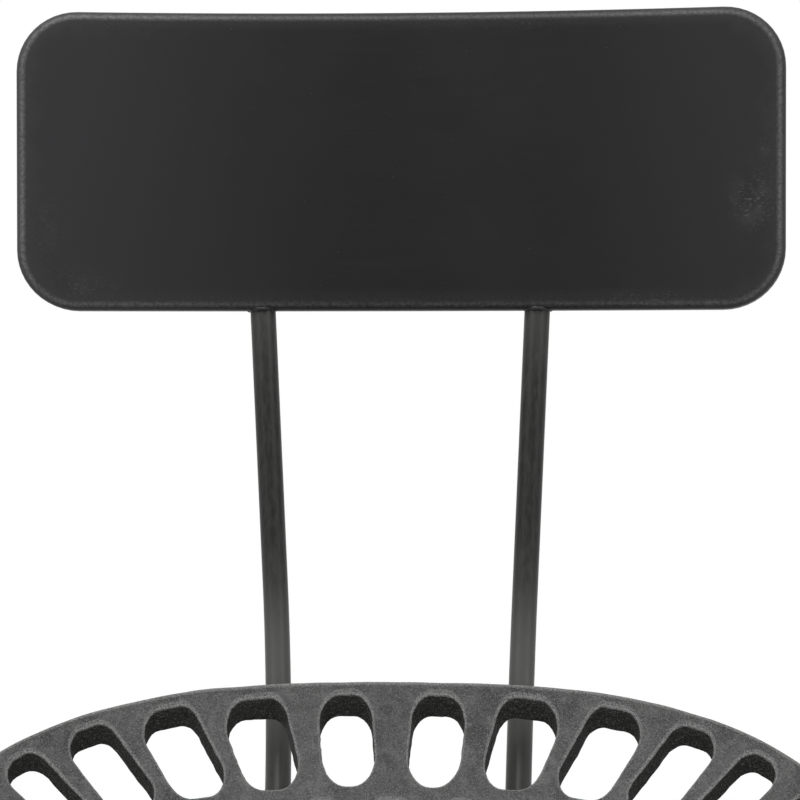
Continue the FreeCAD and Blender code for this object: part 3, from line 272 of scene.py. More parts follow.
def rounded(corners, radii, arc_steps, side_steps):
    """A closed outline of straight sides and arcs, and the outward normals at its points."""
    count = len(corners)
    ends = []
    for index, corner in enumerate(corners):
        back = corners[index - 1] - corner
        ahead = corners[(index + 1) % count] - corner
        sides = np.linalg.norm(back), np.linalg.norm(ahead)
        back, ahead = back / sides[0], ahead / sides[1]
        half = math.acos(np.clip(back @ ahead, -1, 1)) / 2
        cut = min(radii[index] / math.tan(half), 0.47 * min(sides))
        radius = cut * math.tan(half)
        bisector = (back + ahead) / np.linalg.norm(back + ahead)
        centre = corner + bisector * cut / math.cos(half)
        start = corner + back * cut - centre
        finish = corner + ahead * cut - centre
        ends.append((centre, radius, start / radius, finish / radius))
    points, normals = [], []
    for index, (centre, radius, start, finish) in enumerate(ends):
        sweep = math.acos(np.clip(start @ finish, -1, 1))
        for step in range(arc_steps + 1):
            part = step / arc_steps
            normal = math.sin((1 - part) * sweep) * start + math.sin(part * sweep) * finish
            normal = normal / math.sin(sweep)
            points.append(centre + radius * normal)
            normals.append(normal)
        after = ends[(index + 1) % count]
        side_start, side_end = centre + radius * finish, after[0] + after[1] * after[2]
        for step in range(1, side_steps):
            points.append(side_start + (side_end - side_start) * step / side_steps)
            normals.append(finish)
    return np.array(points), np.array(normals)


def outer_slots():
    """Once round from the rear, where each slot of the outer row points at the rim, its bearing
    and its widths at the rim and further in."""
    table = np.array(QUARTER_SLOTS)
    places, rest = [], []
    steps = np.linspace(0, math.pi / 2, 361)
    for side, end in ((1, 1), (1, -1), (-1, -1), (-1, 1)):
        turns = steps if end > 0 else math.pi - steps
        rim = ring_points(side * turns, 1.0, centre=0.0)
        travelled = np.concatenate([[0], np.cumsum(np.linalg.norm(np.diff(rim, axis=0), axis=1))])
        shares = table[:, 0] * travelled[-1]
        points = np.stack([np.interp(shares, travelled, axis) for axis in rim.T], 1)
        bearings = np.radians(table[:, 1])
        bearings = side * (bearings if end > 0 else math.pi - bearings)
        order = slice(None, None, side * end)
        places.append(points[order])
        rest.append(np.column_stack([bearings, table[:, 2:]])[order])
    rest = np.concatenate(rest)
    return np.concatenate(places), np.unwrap(rest[:, 0]), rest[:, 1], rest[:, 2]


def walk_in(places, bearings, part):
    """Points as far along lines from the rim inwards as the ring that is asked for."""
    ahead = np.stack([np.sin(bearings), np.cos(bearings)], 1)
    start = places + ahead * OUTSIDE_RIM
    near, far = np.zeros(len(places)), np.full(len(places), SEARCH_LENGTH)
    for _ in range(HALVINGS):
        middle = (near + far) / 2
        point = start - ahead * middle[:, None]
        outer = fraction(*point.T) > part
        near, far = np.where(outer, middle, near), np.where(outer, far, middle)
    return start - ahead * near[:, None]


def rim_part(places, bearings):
    """The ring that leaves a band of even width below the rim, measured along the surface."""
    step = 0.02
    edge = walk_in(places, bearings, 1.0)
    below = walk_in(places, bearings, 1.0 - step)
    across = np.linalg.norm(edge - below, axis=1)
    slope = (seat_top(*edge.T) - seat_top(*below.T)) / across
    return 1 - step * RIM_BAND / np.sqrt(1 + slope ** 2) / across


def side_lines(places, bearings, outer_widths, inner_widths, side):
    """The lines that bound tapered slots on one side: points and bearings."""
    across = np.stack([np.cos(bearings), -np.sin(bearings)], 1)
    lean = np.arctan((outer_widths - inner_widths) / 2 / TAPER_LENGTH)
    return places + across * side * outer_widths[:, None] / 2, bearings + side * lean


def outline_row(left, right, row):
    """Outlines of the slots between lines on their left and on their right."""
    inner, outer, round_in, round_out = row
    corners = []
    for places, bearings in (left, right):
        far = rim_part(places, bearings) if outer is None else outer
        corners.append((walk_in(places, bearings, inner), walk_in(places, bearings, far)))
    (left_in, left_out), (right_in, right_out) = corners
    return [rounded(quad, [round_in, round_out, round_out, round_in], 8, 8)
            for quad in zip(left_in, left_out, right_out, right_in)]


def between_ribs(starts, bearings, row):
    """Outlines of the slots between ribs that start at points and follow their bearings."""
    ribs = np.full(len(starts), RIB)
    left = side_lines(starts, bearings, ribs, ribs, 1)
    right = side_lines(starts, bearings, ribs, ribs, -1)
    return outline_row(left, [np.roll(part, -1, axis=0) for part in right], row)


def slot_outlines():
    places, bearings, outer_widths, inner_widths = outer_slots()
    left, right = (side_lines(places, bearings, outer_widths, inner_widths, side) for side in (-1, 1))
    outlines = outline_row(left, right, ROWS[0])
    # Each rib of the second row starts at the middle of a slot of the outer row.
    starts = walk_in(places, bearings, ROWS[0][0])
    fan = np.unwrap(np.arctan2(starts[:, 0], starts[:, 1] - FAN))
    outlines += between_ribs(starts, fan, ROWS[1])
    # The ribs of the third row fan out evenly, half as many.
    fan = even_azimuths(ROWS[2][1], len(places) // 2)
    outlines += between_ribs(ring_points(fan, ROWS[2][1]), fan, ROWS[2])
    return outlines


def bolt_holes():
    """Outlines of the four bolt holes through seat and plate, and their outward normals."""
    turn = np.linspace(0, 2 * math.pi, 28, endpoint=False)
    normals = np.stack([np.cos(turn), np.sin(turn)], 1)
    offsets = (-BOLT_OFFSET, BOLT_OFFSET)
    return [(np.array([x, y]) + BOLT_HOLE * normals, normals) for x in offsets for y in offsets]


def inside(points, outline):
    """Which of the points lie in a closed outline; only those in its box are looked at."""
    in_box = np.all((points >= outline.min(0)) & (points <= outline.max(0)), axis=1)
    x, y = points[in_box, :1], points[in_box, 1:]
    x1, y1 = outline[:, 0], outline[:, 1]
    x2, y2 = np.roll(x1, -1), np.roll(y1, -1)
    crosses = (y1 > y) != (y2 > y)
    with np.errstate(divide="ignore", invalid="ignore"):
        at = x1 + (y - y1) * (x2 - x1) / (y2 - y1)
    in_box[in_box] = (np.sum(crosses & (x < at), axis=1) % 2) == 1
    return in_box


def hexagonal_grid(low, high, spacing):
    rows = np.arange(low[1], high[1], spacing * GRID_ROW)
    grid = []
    for number, y in enumerate(rows):
        xs = np.arange(low[0] + (number % 2) * spacing / 2, high[0], spacing)
        grid.append(np.stack([xs, np.full(len(xs), y)], 1))
    return np.concatenate(grid)


def clear_of(points, outline, gap):
    """Drops the points that are nearer than the gap to an outline."""
    low, high = outline.min(0) - gap, outline.max(0) + gap
    near = np.all((points > low) & (points < high), axis=1)
    if not near.any():
        return points
    distance = np.linalg.norm(points[near][:, None] - outline[None], axis=2).min(1)
    keep = np.ones(len(points), bool)
    keep[np.flatnonzero(near)[distance < gap]] = False
    return points[keep]


def between(points, border, holes):
    """Which of the points lie in a border and in none of its holes."""
    keep = inside(points, border)
    for outline in holes:
        keep &= ~inside(points, outline)
    return keep


def fill(border, holes, spacing):
    """Triangles between a border and its holes; the points come border first, then holes."""
    outlines = [border] + holes
    grid = hexagonal_grid(border.min(0), border.max(0), spacing)
    grid = grid[between(grid, border, holes)]
    for outline in outlines:
        grid = clear_of(grid, outline, spacing * GRID_GAP)
    points = np.concatenate(outlines + [grid])
    edges = []
    start = 0
    for outline in outlines:
        count = len(outline)
        edges.extend((start + index, start + (index + 1) % count) for index in range(count))
        start += count
    result = delaunay_2d_cdt([Vector(point) for point in points], edges, [], 0, 1e-7, True)
    flat, triangles, origins = result[0], result[2], result[3]
    flat = np.array([tuple(point) for point in flat])
    names = [origin[0] for origin in origins]
    triangles = np.array([tuple(triangle) for triangle in triangles])
    keep = between(flat[triangles].mean(1), border, holes)
    return points, [[names[corner] for corner in triangle] for triangle in triangles[keep]]


def two_faces(shape, loops, spacing, upper, lower, wear=0.0, hollow=0.0):
    """Upper and lower face of a pierced plate; gives each loop's points on both of them."""
    plan, triangles = fill(loops[0], loops[1:], spacing)
    on_lip = np.arange(len(plan)) < sum(len(loop) for loop in loops)
    top = shape.add(np.column_stack([plan, upper(*plan.T)]), edge=wear * on_lip)
    # The lower face carries painted shade as strong as hollow.
    under = shape.add(np.column_stack([plan, lower(*plan.T)]), wall=hollow)
    for a, b, c in triangles:
        shape.faces.append((top[a], top[b], top[c]))
        shape.faces.append((under[c], under[b], under[a]))
    ends = np.cumsum([len(loop) for loop in loops])
    return [(top[start:end], under[start:end]) for start, end in zip([0, *ends], ends)]


def ripple(points, length, seed=0.0):
    """Smooth unevenness between about -1 and 1 at points, with bumps of about that length."""
    shift = Vector((seed, seed, seed))
    return np.array([noise.noise(Vector(point) / length + shift) for point in points]) * 1.6


def lip(radius, steps):
    """Offsets and depths of a rounded edge, from the face to the wall."""
    return [(radius * (1 - math.sin(turn)), radius * (1 - math.cos(turn)))
            for turn in np.linspace(0, math.pi / 2, steps + 1)]


def seat_edges():
    """Every edge of the seat: its points, the directions into the face, and its lip's radius."""
    border = ring_points(np.linspace(0, 2 * math.pi, 360, endpoint=False), 1.0)
    along = np.roll(border, -1, axis=0) - np.roll(border, 1, axis=0)
    along /= np.linalg.norm(along, axis=1)[:, None]
    inward = np.stack([along[:, 1], -along[:, 0]], 1)
    wider = smooth(border[:, 1], -RIM_LIP_CHANGE, RIM_LIP_CHANGE)
    edges = [(border, inward, RIM_LIP + RIM_LIP_MORE * wider)]
    for radius, outlines in ((SLOT_LIP, slot_outlines()), (BOLT_LIP, bolt_holes())):
        edges += [(points, normals, np.full(len(points), radius)) for points, normals in outlines]
    return edges


def seat_wall(points, normals, radius, hollow):
    """Loops down an edge of the seat: its rounded lip, its wall and its lower lip. Painted shade, as strong
    as hollow, darkens the wall and lower lip, and the upper lip less where it is worn.
    """
    loops = []
    rounding = lip(radius, len(LIP_WEAR))[1:]
    for (offset, depth), wear in zip(rounding, LIP_WEAR):
        x, y = (points + normals * offset[:, None]).T
        marks = {"edge": wear, "wall": hollow * (1 - wear)}
        loops.append((np.stack([x, y, seat_face(x, y) - depth], 1), marks))
    x, y = points.T
    high = seat_face(x, y) - radius
    low = seat_bottom(x, y) + radius
    for step in (1, 2):
        loops.append((np.stack([x, y, high + (low - high) * step / 3], 1), {"wall": hollow}))
    for offset, depth in reversed(rounding):
        x, y = (points + normals * offset[:, None]).T
        loops.append((np.stack([x, y, seat_bottom(x, y) + depth], 1), {"wall": hollow}))
    return loops


def make_seat():
    shape = Shape()
    edges = seat_edges()
    loops = [points + normals * radius[:, None] for points, normals, radius in edges]
    rings = two_faces(shape, loops, SEAT_GRID, seat_face, seat_bottom, FACE_WEAR, UNDER_SHADE)
    # Painted shade in full on the walls of the slots and bolt holes, and weaker on the rim's wall.
    for number, (edge, (upper, lower)) in enumerate(zip(edges, rings)):
        shape.wall(upper, seat_wall(*edge, 1.0 if number else RIM_SHADE), lower)
    points = np.array(shape.points)
    sand_cast(points, np.array(shape.mark("wall")))
    shape.points = points + (0, 0, SEAT_HEIGHT)
    return shape


def sand_cast(points, wall):
    """Uneven as it came from the sand, and a little turned within the play of its bolts. It is
    drawn in very slightly, so that its waves stay inside the solid's box."""
    away = np.hypot(points[:, 0], points[:, 1])
    free = smooth(away, BOLTED_RADIUS, FREE_RADIUS)
    waves = LONG_WAVE[0] * ripple(points, LONG_WAVE[1]) + SHORT_WAVE[0] * ripple(points, SHORT_WAVE[1], 5.0)
    points[:, 2] += free * (waves - WAVES_DOWN)
    rough = np.minimum(wall, free) * GRAIN_HEIGHT
    inwards = points[:, :2] / np.maximum(away, 1)[:, None]
    points[:, :2] += (rough * (ripple(points, GRAIN_LENGTH, 9.0) - 1))[:, None] * inwards
    sideways = np.stack([-inwards[:, 1], inwards[:, 0]], 1)
    points[:, :2] += (rough * ripple(points, GRAIN_LENGTH, 14.0))[:, None] * sideways
    turn = np.radians(SEAT_TURN) * free
    x, y = points[:, :2].T * (1 - SEAT_SHRINK * free)
    points[:, 0] = x * np.cos(turn) - y * np.sin(turn)
    points[:, 1] = x * np.sin(turn) + y * np.cos(turn)


def recalculate(piece):
    """Faces of a closed mesh look outwards."""
    work = bmesh.new()
    work.from_mesh(piece.data)
    bmesh.ops.recalc_face_normals(work, faces=work.faces)
    work.to_mesh(piece.data)
    work.free()


# Backrest: two bent rods and a pressed tray that their upper ends stand in

def turn_about_x(points, angle):
    cosine, sine = math.cos(angle), math.sin(angle)
    x, y, z = points.T
    return np.stack([x, y * cosine - z * sine, y * sine + z * cosine], 1)


def turn_about_y(points, angle):
    cosine, sine = math.cos(angle), math.sin(angle)
    x, y, z = points.T
    return np.stack([x * cosine + z * sine, y, z * cosine - x * sine], 1)


def bend_point(turn):
    """Where a rod's axis has turned up by an angle, in the rod's own plane."""
    along, up = ROD_BEND * math.sin(turn), ROD_BEND * (1 - math.cos(turn))
    return np.array([0, ROD_LEVEL_RUN + along, up])


def rod_point(height):
    """Where the upper run of a rod reaches a height, in the rod's own plane."""
    start = bend_point(ROD_TURN)
    return start + ROD_AHEAD * (height - ROD_LEVEL - start[2]) / ROD_AHEAD[2]


def place_rod(points, side):
    """From a rod's own plane, where its front end is the origin, to its place."""
    leaning = turn_about_y(np.atleast_2d(points), side * math.radians(ROD_SPLAY))
    return leaning + (side * ROD_SPACING, -ROD_OVERHANG, ROD_LEVEL)


def rod_path(side):
    level = [np.array([0, y, 0.0]) for y in np.linspace(0, ROD_LEVEL_RUN, 8)[:-1]]
    bend = [bend_point(turn) for turn in np.linspace(0, ROD_TURN, 30)]
    rise = rod_point(PANEL_FLOOR + ROD_IN_PANEL) - bend[-1]
    upper = [bend[-1] + rise * share for share in np.linspace(0, 1, 16)[1:]]
    return place_rod(np.array(level + bend + upper), side)


def tube(shape, path, radius, sides=36, chamfer=ROD_CHAMFER, rub=0.0):
    """A round bar along a path, its ends slightly chamfered; radius, and the rods' painted highlight and pale
    top, may vary along it.
    """
    path = np.asarray(path, float)
    ahead = np.gradient(path, axis=0)
    ahead /= np.linalg.norm(ahead, axis=1)[:, None]
    sideways = np.cross(ahead[0], (0, 0, 1) if abs(ahead[0][2]) < 0.9 else (0, 1, 0))
    sideways /= np.linalg.norm(sideways)
    radii = np.broadcast_to(radius, len(path))
    turns = np.linspace(0, 2 * math.pi, sides, endpoint=False)
    rings = []
    for index, (point, direction) in enumerate(zip(path, ahead)):
        sideways = sideways - direction * (sideways @ direction)
        sideways /= np.linalg.norm(sideways)
        up = np.cross(direction, sideways)
        circle = np.cos(turns)[:, None] * sideways + np.sin(turns)[:, None] * up
        if index in (0, len(path) - 1):
            inwards = direction if index == 0 else -direction
            ends = [point + circle * (radii[index] - chamfer),
                    point + inwards * chamfer + circle * radii[index]]
            rings.extend(ends if index == 0 else reversed(ends))
        else:
            rings.append(point + circle * radii[index])
    shares = np.linspace(0, 1, len(rings))
    highlight_and_pale_amounts = np.interp(shares, np.linspace(0, 1, len(path)), np.broadcast_to(rub, len(path)))
    indices = [shape.add(ring, rub=amount) for ring, amount in zip(rings, highlight_and_pale_amounts)]
    for before, after in zip(indices, indices[1:]):
        shape.strip(before, after)
    shape.cap(indices[0], flip=True)
    shape.cap(indices[-1])


def rod_highlight_and_pale_top(heights):
    """A painted highlight on the rods just above the seat's rim, where the bend faces the light from above,
    and paler paint just below the panel.
    """
    low = smooth(heights, ROD_HIGHLIGHT_START, ROD_HIGHLIGHT_FULL) * (1 - smooth(heights, ROD_HIGHLIGHT_FADE, ROD_HIGHLIGHT_END))
    return ROD_HIGHLIGHT * low + ROD_PALE_TOP * smooth(heights, ROD_PALE_TOP_START, ROD_PALE_TOP_FULL)


def panel_place(points):
    """From width, height and depth on the pressed sheet to the stool's frame."""
    on_rod = place_rod(rod_point(PANEL_FLOOR), 1)[0]
    to_rod = PANEL_RADIUS + PANEL_SHEET + ROD_RADIUS + PANEL_GAP
    behind = math.sqrt(to_rod ** 2 - on_rod[0] ** 2) - PANEL_RADIUS
    across, height, depth = points.T
    turned = across / PANEL_RADIUS
    bent = np.stack([(PANEL_RADIUS + depth) * np.sin(turned),
                     (PANEL_RADIUS + depth) * np.cos(turned) - PANEL_RADIUS - behind, height], 1)
    return turn_about_x(bent, -LEAN) + (0, on_rod[1], PANEL_FLOOR)


def panel_loop(inset, depth):
    """One closed line round the panel, at an inset from its outline."""
    radius = PANEL_CORNER - inset
    across, low, high = PANEL_WIDTH / 2 - PANEL_CORNER, PANEL_CORNER, PANEL_HEIGHT - PANEL_CORNER
    centres = ((across, low), (across, high), (-across, high), (-across, low))
    points = []
    for quarter, (x, z) in enumerate(centres):
        for turn in np.linspace(quarter - 1, quarter, CORNER_STEPS + 1) * math.pi / 2:
            points.append((x + radius * math.cos(turn), z + radius * math.sin(turn), depth))
        x2, z2 = centres[(quarter + 1) % 4]
        last = np.array(points[-1])
        turn = quarter * math.pi / 2
        goal = np.array((x2 + radius * math.cos(turn), z2 + radius * math.sin(turn), depth))
        steps = SIDE_STEPS if quarter % 2 == 0 else LENGTH_STEPS
        points.extend(last + (goal - last) * step / steps for step in range(1, steps))
    return np.array(points)


def scuffed(points):
    """How much the paint is scuffed at points of the panel, given by width and height."""
    wear = np.zeros(len(points))
    for x, z, wide, high, amount in SCUFFS:
        wear += amount * np.exp(-((points[:, 0] - x) / wide) ** 2 - ((points[:, 1] - z) / high) ** 2)
    return np.clip(wear, 0, 1)


def reflected_ends(points):
    """Painted reflection, paler towards the panel's ends, more so at the left."""
    sides = ((-points[:, 0], REFLECTION_LEFT), (points[:, 0], REFLECTION_RIGHT))
    return sum(amount * smooth(across, start, full) for across, (amount, start, full) in sides)


def panel_face(shape, loop, wear, front):
    """Fills a loop of the panel; only its front is scuffed and has the painted reflection, and its border has
    the painted edge highlight. Gives the loop's points.
    """
    plan, triangles = fill(loop[:, :2], [], PANEL_GRID)
    points = np.column_stack([plan, np.full(len(plan), loop[0, 2])])
    ids = shape.add(panel_place(points), edge=wear * (np.arange(len(plan)) < len(loop)),
                    scuff=scuffed(plan) * front, fade=reflected_ends(plan) * front)
    shape.faces.extend(tuple(ids[corner] for corner in triangle) for triangle in triangles)
    return ids[:len(loop)]


def make_panel():
    """A pressed tray, from its front round the rolled edge and the flange to its hollow back."""
    shape = Shape()
    outer = lip(PANEL_EDGE, len(EDGE_HIGHLIGHT) - 1)
    flange = [(0, PANEL_DEPTH - FLANGE_EASE), (FLANGE_EASE, PANEL_DEPTH),
              (PANEL_SHEET - FLANGE_EASE, PANEL_DEPTH), (PANEL_SHEET, PANEL_DEPTH - FLANGE_EASE)]
    inner = [(PANEL_SHEET + inset, PANEL_SHEET + depth)
             for inset, depth in reversed(lip(PANEL_EDGE - PANEL_SHEET, len(EDGE_HIGHLIGHT) - 1))]
    loops = [panel_loop(inset, depth) for inset, depth in outer + flange + inner]
    rings = [panel_face(shape, loops[0], EDGE_HIGHLIGHT[0], True)]
    # Painted highlight down the rolled edge and flange, stronger towards the ends with the painted
    # reflection.
    edge_highlights = EDGE_HIGHLIGHT[1:] + FLANGE_HIGHLIGHT + (0.0,) * (len(inner) - 1)
    for loop, wear in zip(loops[1:-1], edge_highlights):
        rings.append(shape.add(panel_place(loop), edge=wear * (0.6 + 0.8 * reflected_ends(loop)),
                               scuff=scuffed(loop), fade=reflected_ends(loop)))
    rings.append(panel_face(shape, loops[-1], 0.0, False))
    for before, after in zip(rings, rings[1:]):
        shape.strip(before, after)
    return shape


def finished(shape, name, body, slot, material, *nodes):
    """Moves a shape onto the spindle's axis and makes its piece, which may stand for CAD nodes."""
    shape.points = [(x, y + SETBACK, z) for x, y, z in shape.points]
    piece = shape.build(name)
    recalculate(piece)
    piece.data.materials.append(material)
    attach(piece, body)
    if nodes:
        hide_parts(*nodes)


# Camera, at the photograph's viewing angle

def make_camera():
    fall, yaw, roll = (math.radians(angle) for angle in (CAMERA_FALL, CAMERA_YAW, CAMERA_ROLL))
    ahead = Vector((-math.sin(yaw) * math.cos(fall), math.cos(yaw) * math.cos(fall), -math.sin(fall)))
    level = Vector((math.cos(yaw), math.sin(yaw), 0))
    upright = level.cross(ahead)
    right = level * math.cos(roll) + upright * math.sin(roll)
    up = upright * math.cos(roll) - level * math.sin(roll)
    data = bpy.data.cameras.new("camera")
    data.sensor_width = CAMERA_SENSOR
    data.sensor_fit = "HORIZONTAL"
    data.lens = CAMERA_LENS
    camera = bpy.data.objects.new("camera", data)
    facing = Matrix((right, up, -ahead)).transposed().to_4x4()
    camera.matrix_world = Matrix.Translation(CAMERA_PLACE) @ facing
    bpy.context.scene.collection.objects.link(camera)
    bpy.context.scene.camera = camera


# Materials

def scaled(colour, factor):
    return tuple(factor * part for part in colour)


class Surface:
    """A procedural material. Textures are placed in the stool's own frame, in millimetres."""

    def __init__(self, name, colour, roughness, metallic=0.0, specular=0.5):
        self.material = bpy.data.materials.new(name)
        self.material.use_nodes = True
        self.tree = self.material.node_tree
        self.shader = self.tree.nodes["Principled BSDF"]
        self.shader.inputs["Base Color"].default_value = (*colour, 1)
        self.shader.inputs["Roughness"].default_value = roughness
        self.shader.inputs["Metallic"].default_value = metallic
        self.shader.inputs["Specular IOR Level"].default_value = specular
        self.place = self.add("ShaderNodeTexCoord").outputs["Object"]
        self.bumps = None

    def add(self, kind, **inputs):
        node = self.tree.nodes.new(kind)
        for name, value in inputs.items():
            self.put(node.inputs[name.replace("_", " ")], value)
        return node

    def put(self, socket, value):
        if isinstance(value, bpy.types.NodeSocket):
            self.tree.links.new(value, socket)
        else:
            socket.default_value = value

    def noise(self, length, detail, stretch=(1, 1, 1)):
        """Grey noise whose bumps are about a length long, longer where it is stretched."""
        scale = tuple(1 / (MM * length * part) for part in stretch)
        where = self.add("ShaderNodeMapping", Vector=self.place, Scale=scale)
        return self.add("ShaderNodeTexNoise", Vector=where.outputs[0], Scale=1.0, Detail=detail).outputs[0]

    def mark(self, name):
        """A value that the mesh carries at its points."""
        node = self.add("ShaderNodeAttribute")
        node.attribute_name = name
        return node.outputs["Fac"]

    def span(self, value, low, high, start=0.0, end=1.0):
        """Takes low..high of a value to start..end, and no further."""
        node = self.add("ShaderNodeMapRange")
        node.clamp = True
        names = ("Value", "From Min", "From Max", "To Min", "To Max")
        for name, number in zip(names, (value, low, high, start, end)):
            self.put(node.inputs[name], number)
        return node.outputs[0]

    def maths(self, operation, first, second):
        node = self.tree.nodes.new("ShaderNodeMath")
        node.operation = operation
        self.put(node.inputs[0], first)
        self.put(node.inputs[1], second)
        return node.outputs[0]

    def blend(self, share, first, second):
        node = self.tree.nodes.new("ShaderNodeMix")
        node.data_type = "RGBA"
        self.put(node.inputs[0], share)
        for socket, value in ((node.inputs[6], first), (node.inputs[7], second)):
            self.put(socket, value if isinstance(value, bpy.types.NodeSocket) else (*value, 1))
        return node.outputs[2]

    def colour(self, value):
        self.tree.links.new(value, self.shader.inputs["Base Color"])

    def roughness(self, value):
        self.tree.links.new(value, self.shader.inputs["Roughness"])

    def bump(self, height, depth):
        """Adds relief, a height of 1 being a depth in millimetres."""
        node = self.add("ShaderNodeBump", Height=height, Distance=depth * MM, Strength=1.0)
        if self.bumps is not None:
            self.tree.links.new(self.bumps, node.inputs["Normal"])
        self.bumps = node.outputs[0]
        self.tree.links.new(self.bumps, self.shader.inputs["Normal"])


def cast_iron(name, face, worn, hollow):
    """Sand-cast iron, painted black: mottled, granular, bare on its edges, with painted shade in its slots,
    on its rim's wall and underneath.
    """
    iron = Surface(name, face, 0.5, specular=0.22)
    stains = iron.noise(30, 4.0)
    clouds = iron.noise(6, 3.0)
    grain = iron.noise(1.3, 4.0)
    fine = iron.noise(0.6, 3.0)
    darker, paler = scaled(face, 0.4), scaled(face, 2.1)
    tone = iron.blend(iron.span(stains, 0.4, 0.57), darker, face)
    tone = iron.blend(iron.span(clouds, 0.45, 0.68, 0.0, 0.7), tone, paler)
    tone = iron.blend(iron.span(grain, 0.35, 0.5, 0.7, 0.0), tone, darker)
    tone = iron.blend(iron.span(fine, 0.52, 0.68, 0.0, 0.8), tone, scaled(face, 2.9))
    # Painted shade where the wall mark is: the hollow colour with paler flecks.
    inside = iron.blend(iron.span(fine, 0.53, 0.68, 0.0, 0.9), hollow, scaled(hollow, 8))
    wall = iron.mark("wall")
    bare = iron.maths("MULTIPLY", iron.mark("edge"), iron.span(fine, 0.35, 0.6, 0.15, 1.0))
    iron.colour(iron.blend(bare, iron.blend(wall, tone, inside), worn))
    matt = iron.maths("MULTIPLY", wall, 0.3)
    iron.roughness(iron.maths("ADD", iron.span(clouds, 0.3, 0.7, 0.42, 0.54), matt))
    iron.bump(clouds, 0.8)
    iron.bump(grain, 0.45)
    iron.bump(fine, 0.25)
    iron.bump(iron.maths("MULTIPLY", iron.noise(1.8, 3.0), wall), 1.2)
    return iron.material


def brushed_paint(name, face, worn):
    """Black paint over brushed sheet: fine level brushing, a painted highlight on the edge, a painted
    reflection towards the ends and light scuffs.
    """
    paint = Surface(name, face, 0.42, specular=0.14)
    clouds = paint.noise(60, 3.0)
    brushing = paint.noise(0.7, 3.0, (60, 1, 1))
    streaks = paint.noise(2.5, 3.0, (40, 1, 1))
    # Painted reflection: paler towards the panel's ends.
    tone = paint.blend(paint.mark("fade"), face, scaled(face, 3.6))
    tone = paint.blend(paint.span(clouds, 0.35, 0.65, 0.0, 0.2), tone, scaled(face, 2.4))
    tone = paint.blend(paint.span(brushing, 0.45, 0.75, 0.0, 0.16), tone, scaled(face, 2.2))
    tone = paint.blend(paint.span(streaks, 0.5, 0.75, 0.0, 0.12), tone, scaled(face, 1.9))
    smear = paint.span(paint.noise(9, 3.0, (1, 1, 1.6)), 0.42, 0.7, 0.0, 0.3)
    strokes = paint.span(paint.noise(0.8, 4.0, (2.2, 1, 1)), 0.57, 0.66, 0.0, 0.6)
    scuffs = paint.maths("MULTIPLY", paint.maths("ADD", smear, strokes), paint.mark("scuff"))
    specks = paint.span(paint.noise(1.1, 2.0), 0.74, 0.8, 0.0, 0.4)
    # Painted highlight along the rolled edge, broken up by noise, in the pale colour of the scuffs.
    edge = paint.maths("MULTIPLY", paint.mark("edge"), paint.span(paint.noise(1.4, 3.0), 0.3, 0.65, 0.3, 1.0))
    scuffs_and_highlight = paint.maths("MAXIMUM", paint.maths("MAXIMUM", scuffs, edge), specks)
    paint.colour(paint.blend(scuffs_and_highlight, tone, worn))
    paint.roughness(paint.span(brushing, 0.3, 0.7, 0.38, 0.48))
    paint.bump(brushing, 0.008)
    paint.bump(paint.noise(1.2, 3.0), 0.02)
    return paint.material


def black_bar(name, face, worn, stretch):
    """Satin black on round bar: faint streaks along it in a paler worn colour, and a painted highlight and
    paler paint where the mesh marks them.
    """
    paint = Surface(name, face, 0.38, specular=0.2)
    streaks = paint.noise(1.6, 4.0, stretch)
    clouds = paint.noise(24, 3.0)
    tone = paint.blend(paint.span(streaks, 0.4, 0.75, 0.0, 0.6), face, worn)
    tone = paint.blend(paint.span(clouds, 0.4, 0.7, 0.0, 0.4), tone, scaled(face, 1.6))
    # Painted highlight on the rods' bend above the seat's rim, and paler paint below the panel.
    tone = paint.blend(paint.mark("rub"), tone, scaled(worn, 1.6))
    paint.colour(tone)
    paint.roughness(paint.span(streaks, 0.3, 0.7, 0.3, 0.46))
    paint.bump(paint.noise(0.8, 3.0), 0.04)
    paint.bump(streaks, 0.03)
    return paint.material


def blacked_steel(name, face, worn):
    steel = Surface(name, face, 0.35, metallic=0.85)
    clouds = steel.noise(3.5, 4.0)
    turned = steel.noise(0.5, 3.0)
    steel.colour(steel.blend(steel.span(clouds, 0.4, 0.7), face, worn))
    steel.roughness(steel.span(clouds, 0.3, 0.7, 0.28, 0.5))
    steel.bump(turned, 0.03)
    return steel.material


def turned_steel(name, face, oily):
    """An oiled screw: bright worn crests, and grease and dirt in the roots."""
    steel = Surface(name, face, 0.3, metallic=0.95)
    clouds = steel.noise(9, 4.0)
    rings = steel.noise(0.5, 3.0, (12, 12, 1))
    root = steel.maths("MAXIMUM", steel.mark("root"), steel.span(clouds, 0.55, 0.8, 0.0, 0.6))
    steel.colour(steel.blend(root, face, oily))
    dull = steel.maths("MULTIPLY", root, 0.25)
    steel.roughness(steel.maths("ADD", steel.span(rings, 0.3, 0.7, 0.2, 0.34), dull))
    steel.bump(rings, 0.03)
    return steel.material


def rubber(name, face):
    gum = Surface(name, face, 0.75, specular=0.3)
    dust = gum.noise(6, 5.0)
    gum.colour(gum.blend(gum.span(dust, 0.4, 0.75, 0.0, 0.6), face, scaled(face, 2.5)))
    gum.roughness(gum.span(dust, 0.3, 0.7, 0.65, 0.85))
    gum.bump(gum.noise(0.7, 3.0), 0.06)
    return gum.material


def lamp(name, at, towards, width, height, power):
    data = bpy.data.lights.new(name, "AREA")
    data.shape = "RECTANGLE"
    data.size, data.size_y, data.energy = width, height, power
    light = bpy.data.objects.new(name, data)
    light.location = at
    light.rotation_euler = (Vector(towards) - Vector(at)).to_track_quat("-Z", "Y").to_euler()
    bpy.context.scene.collection.objects.link(light)


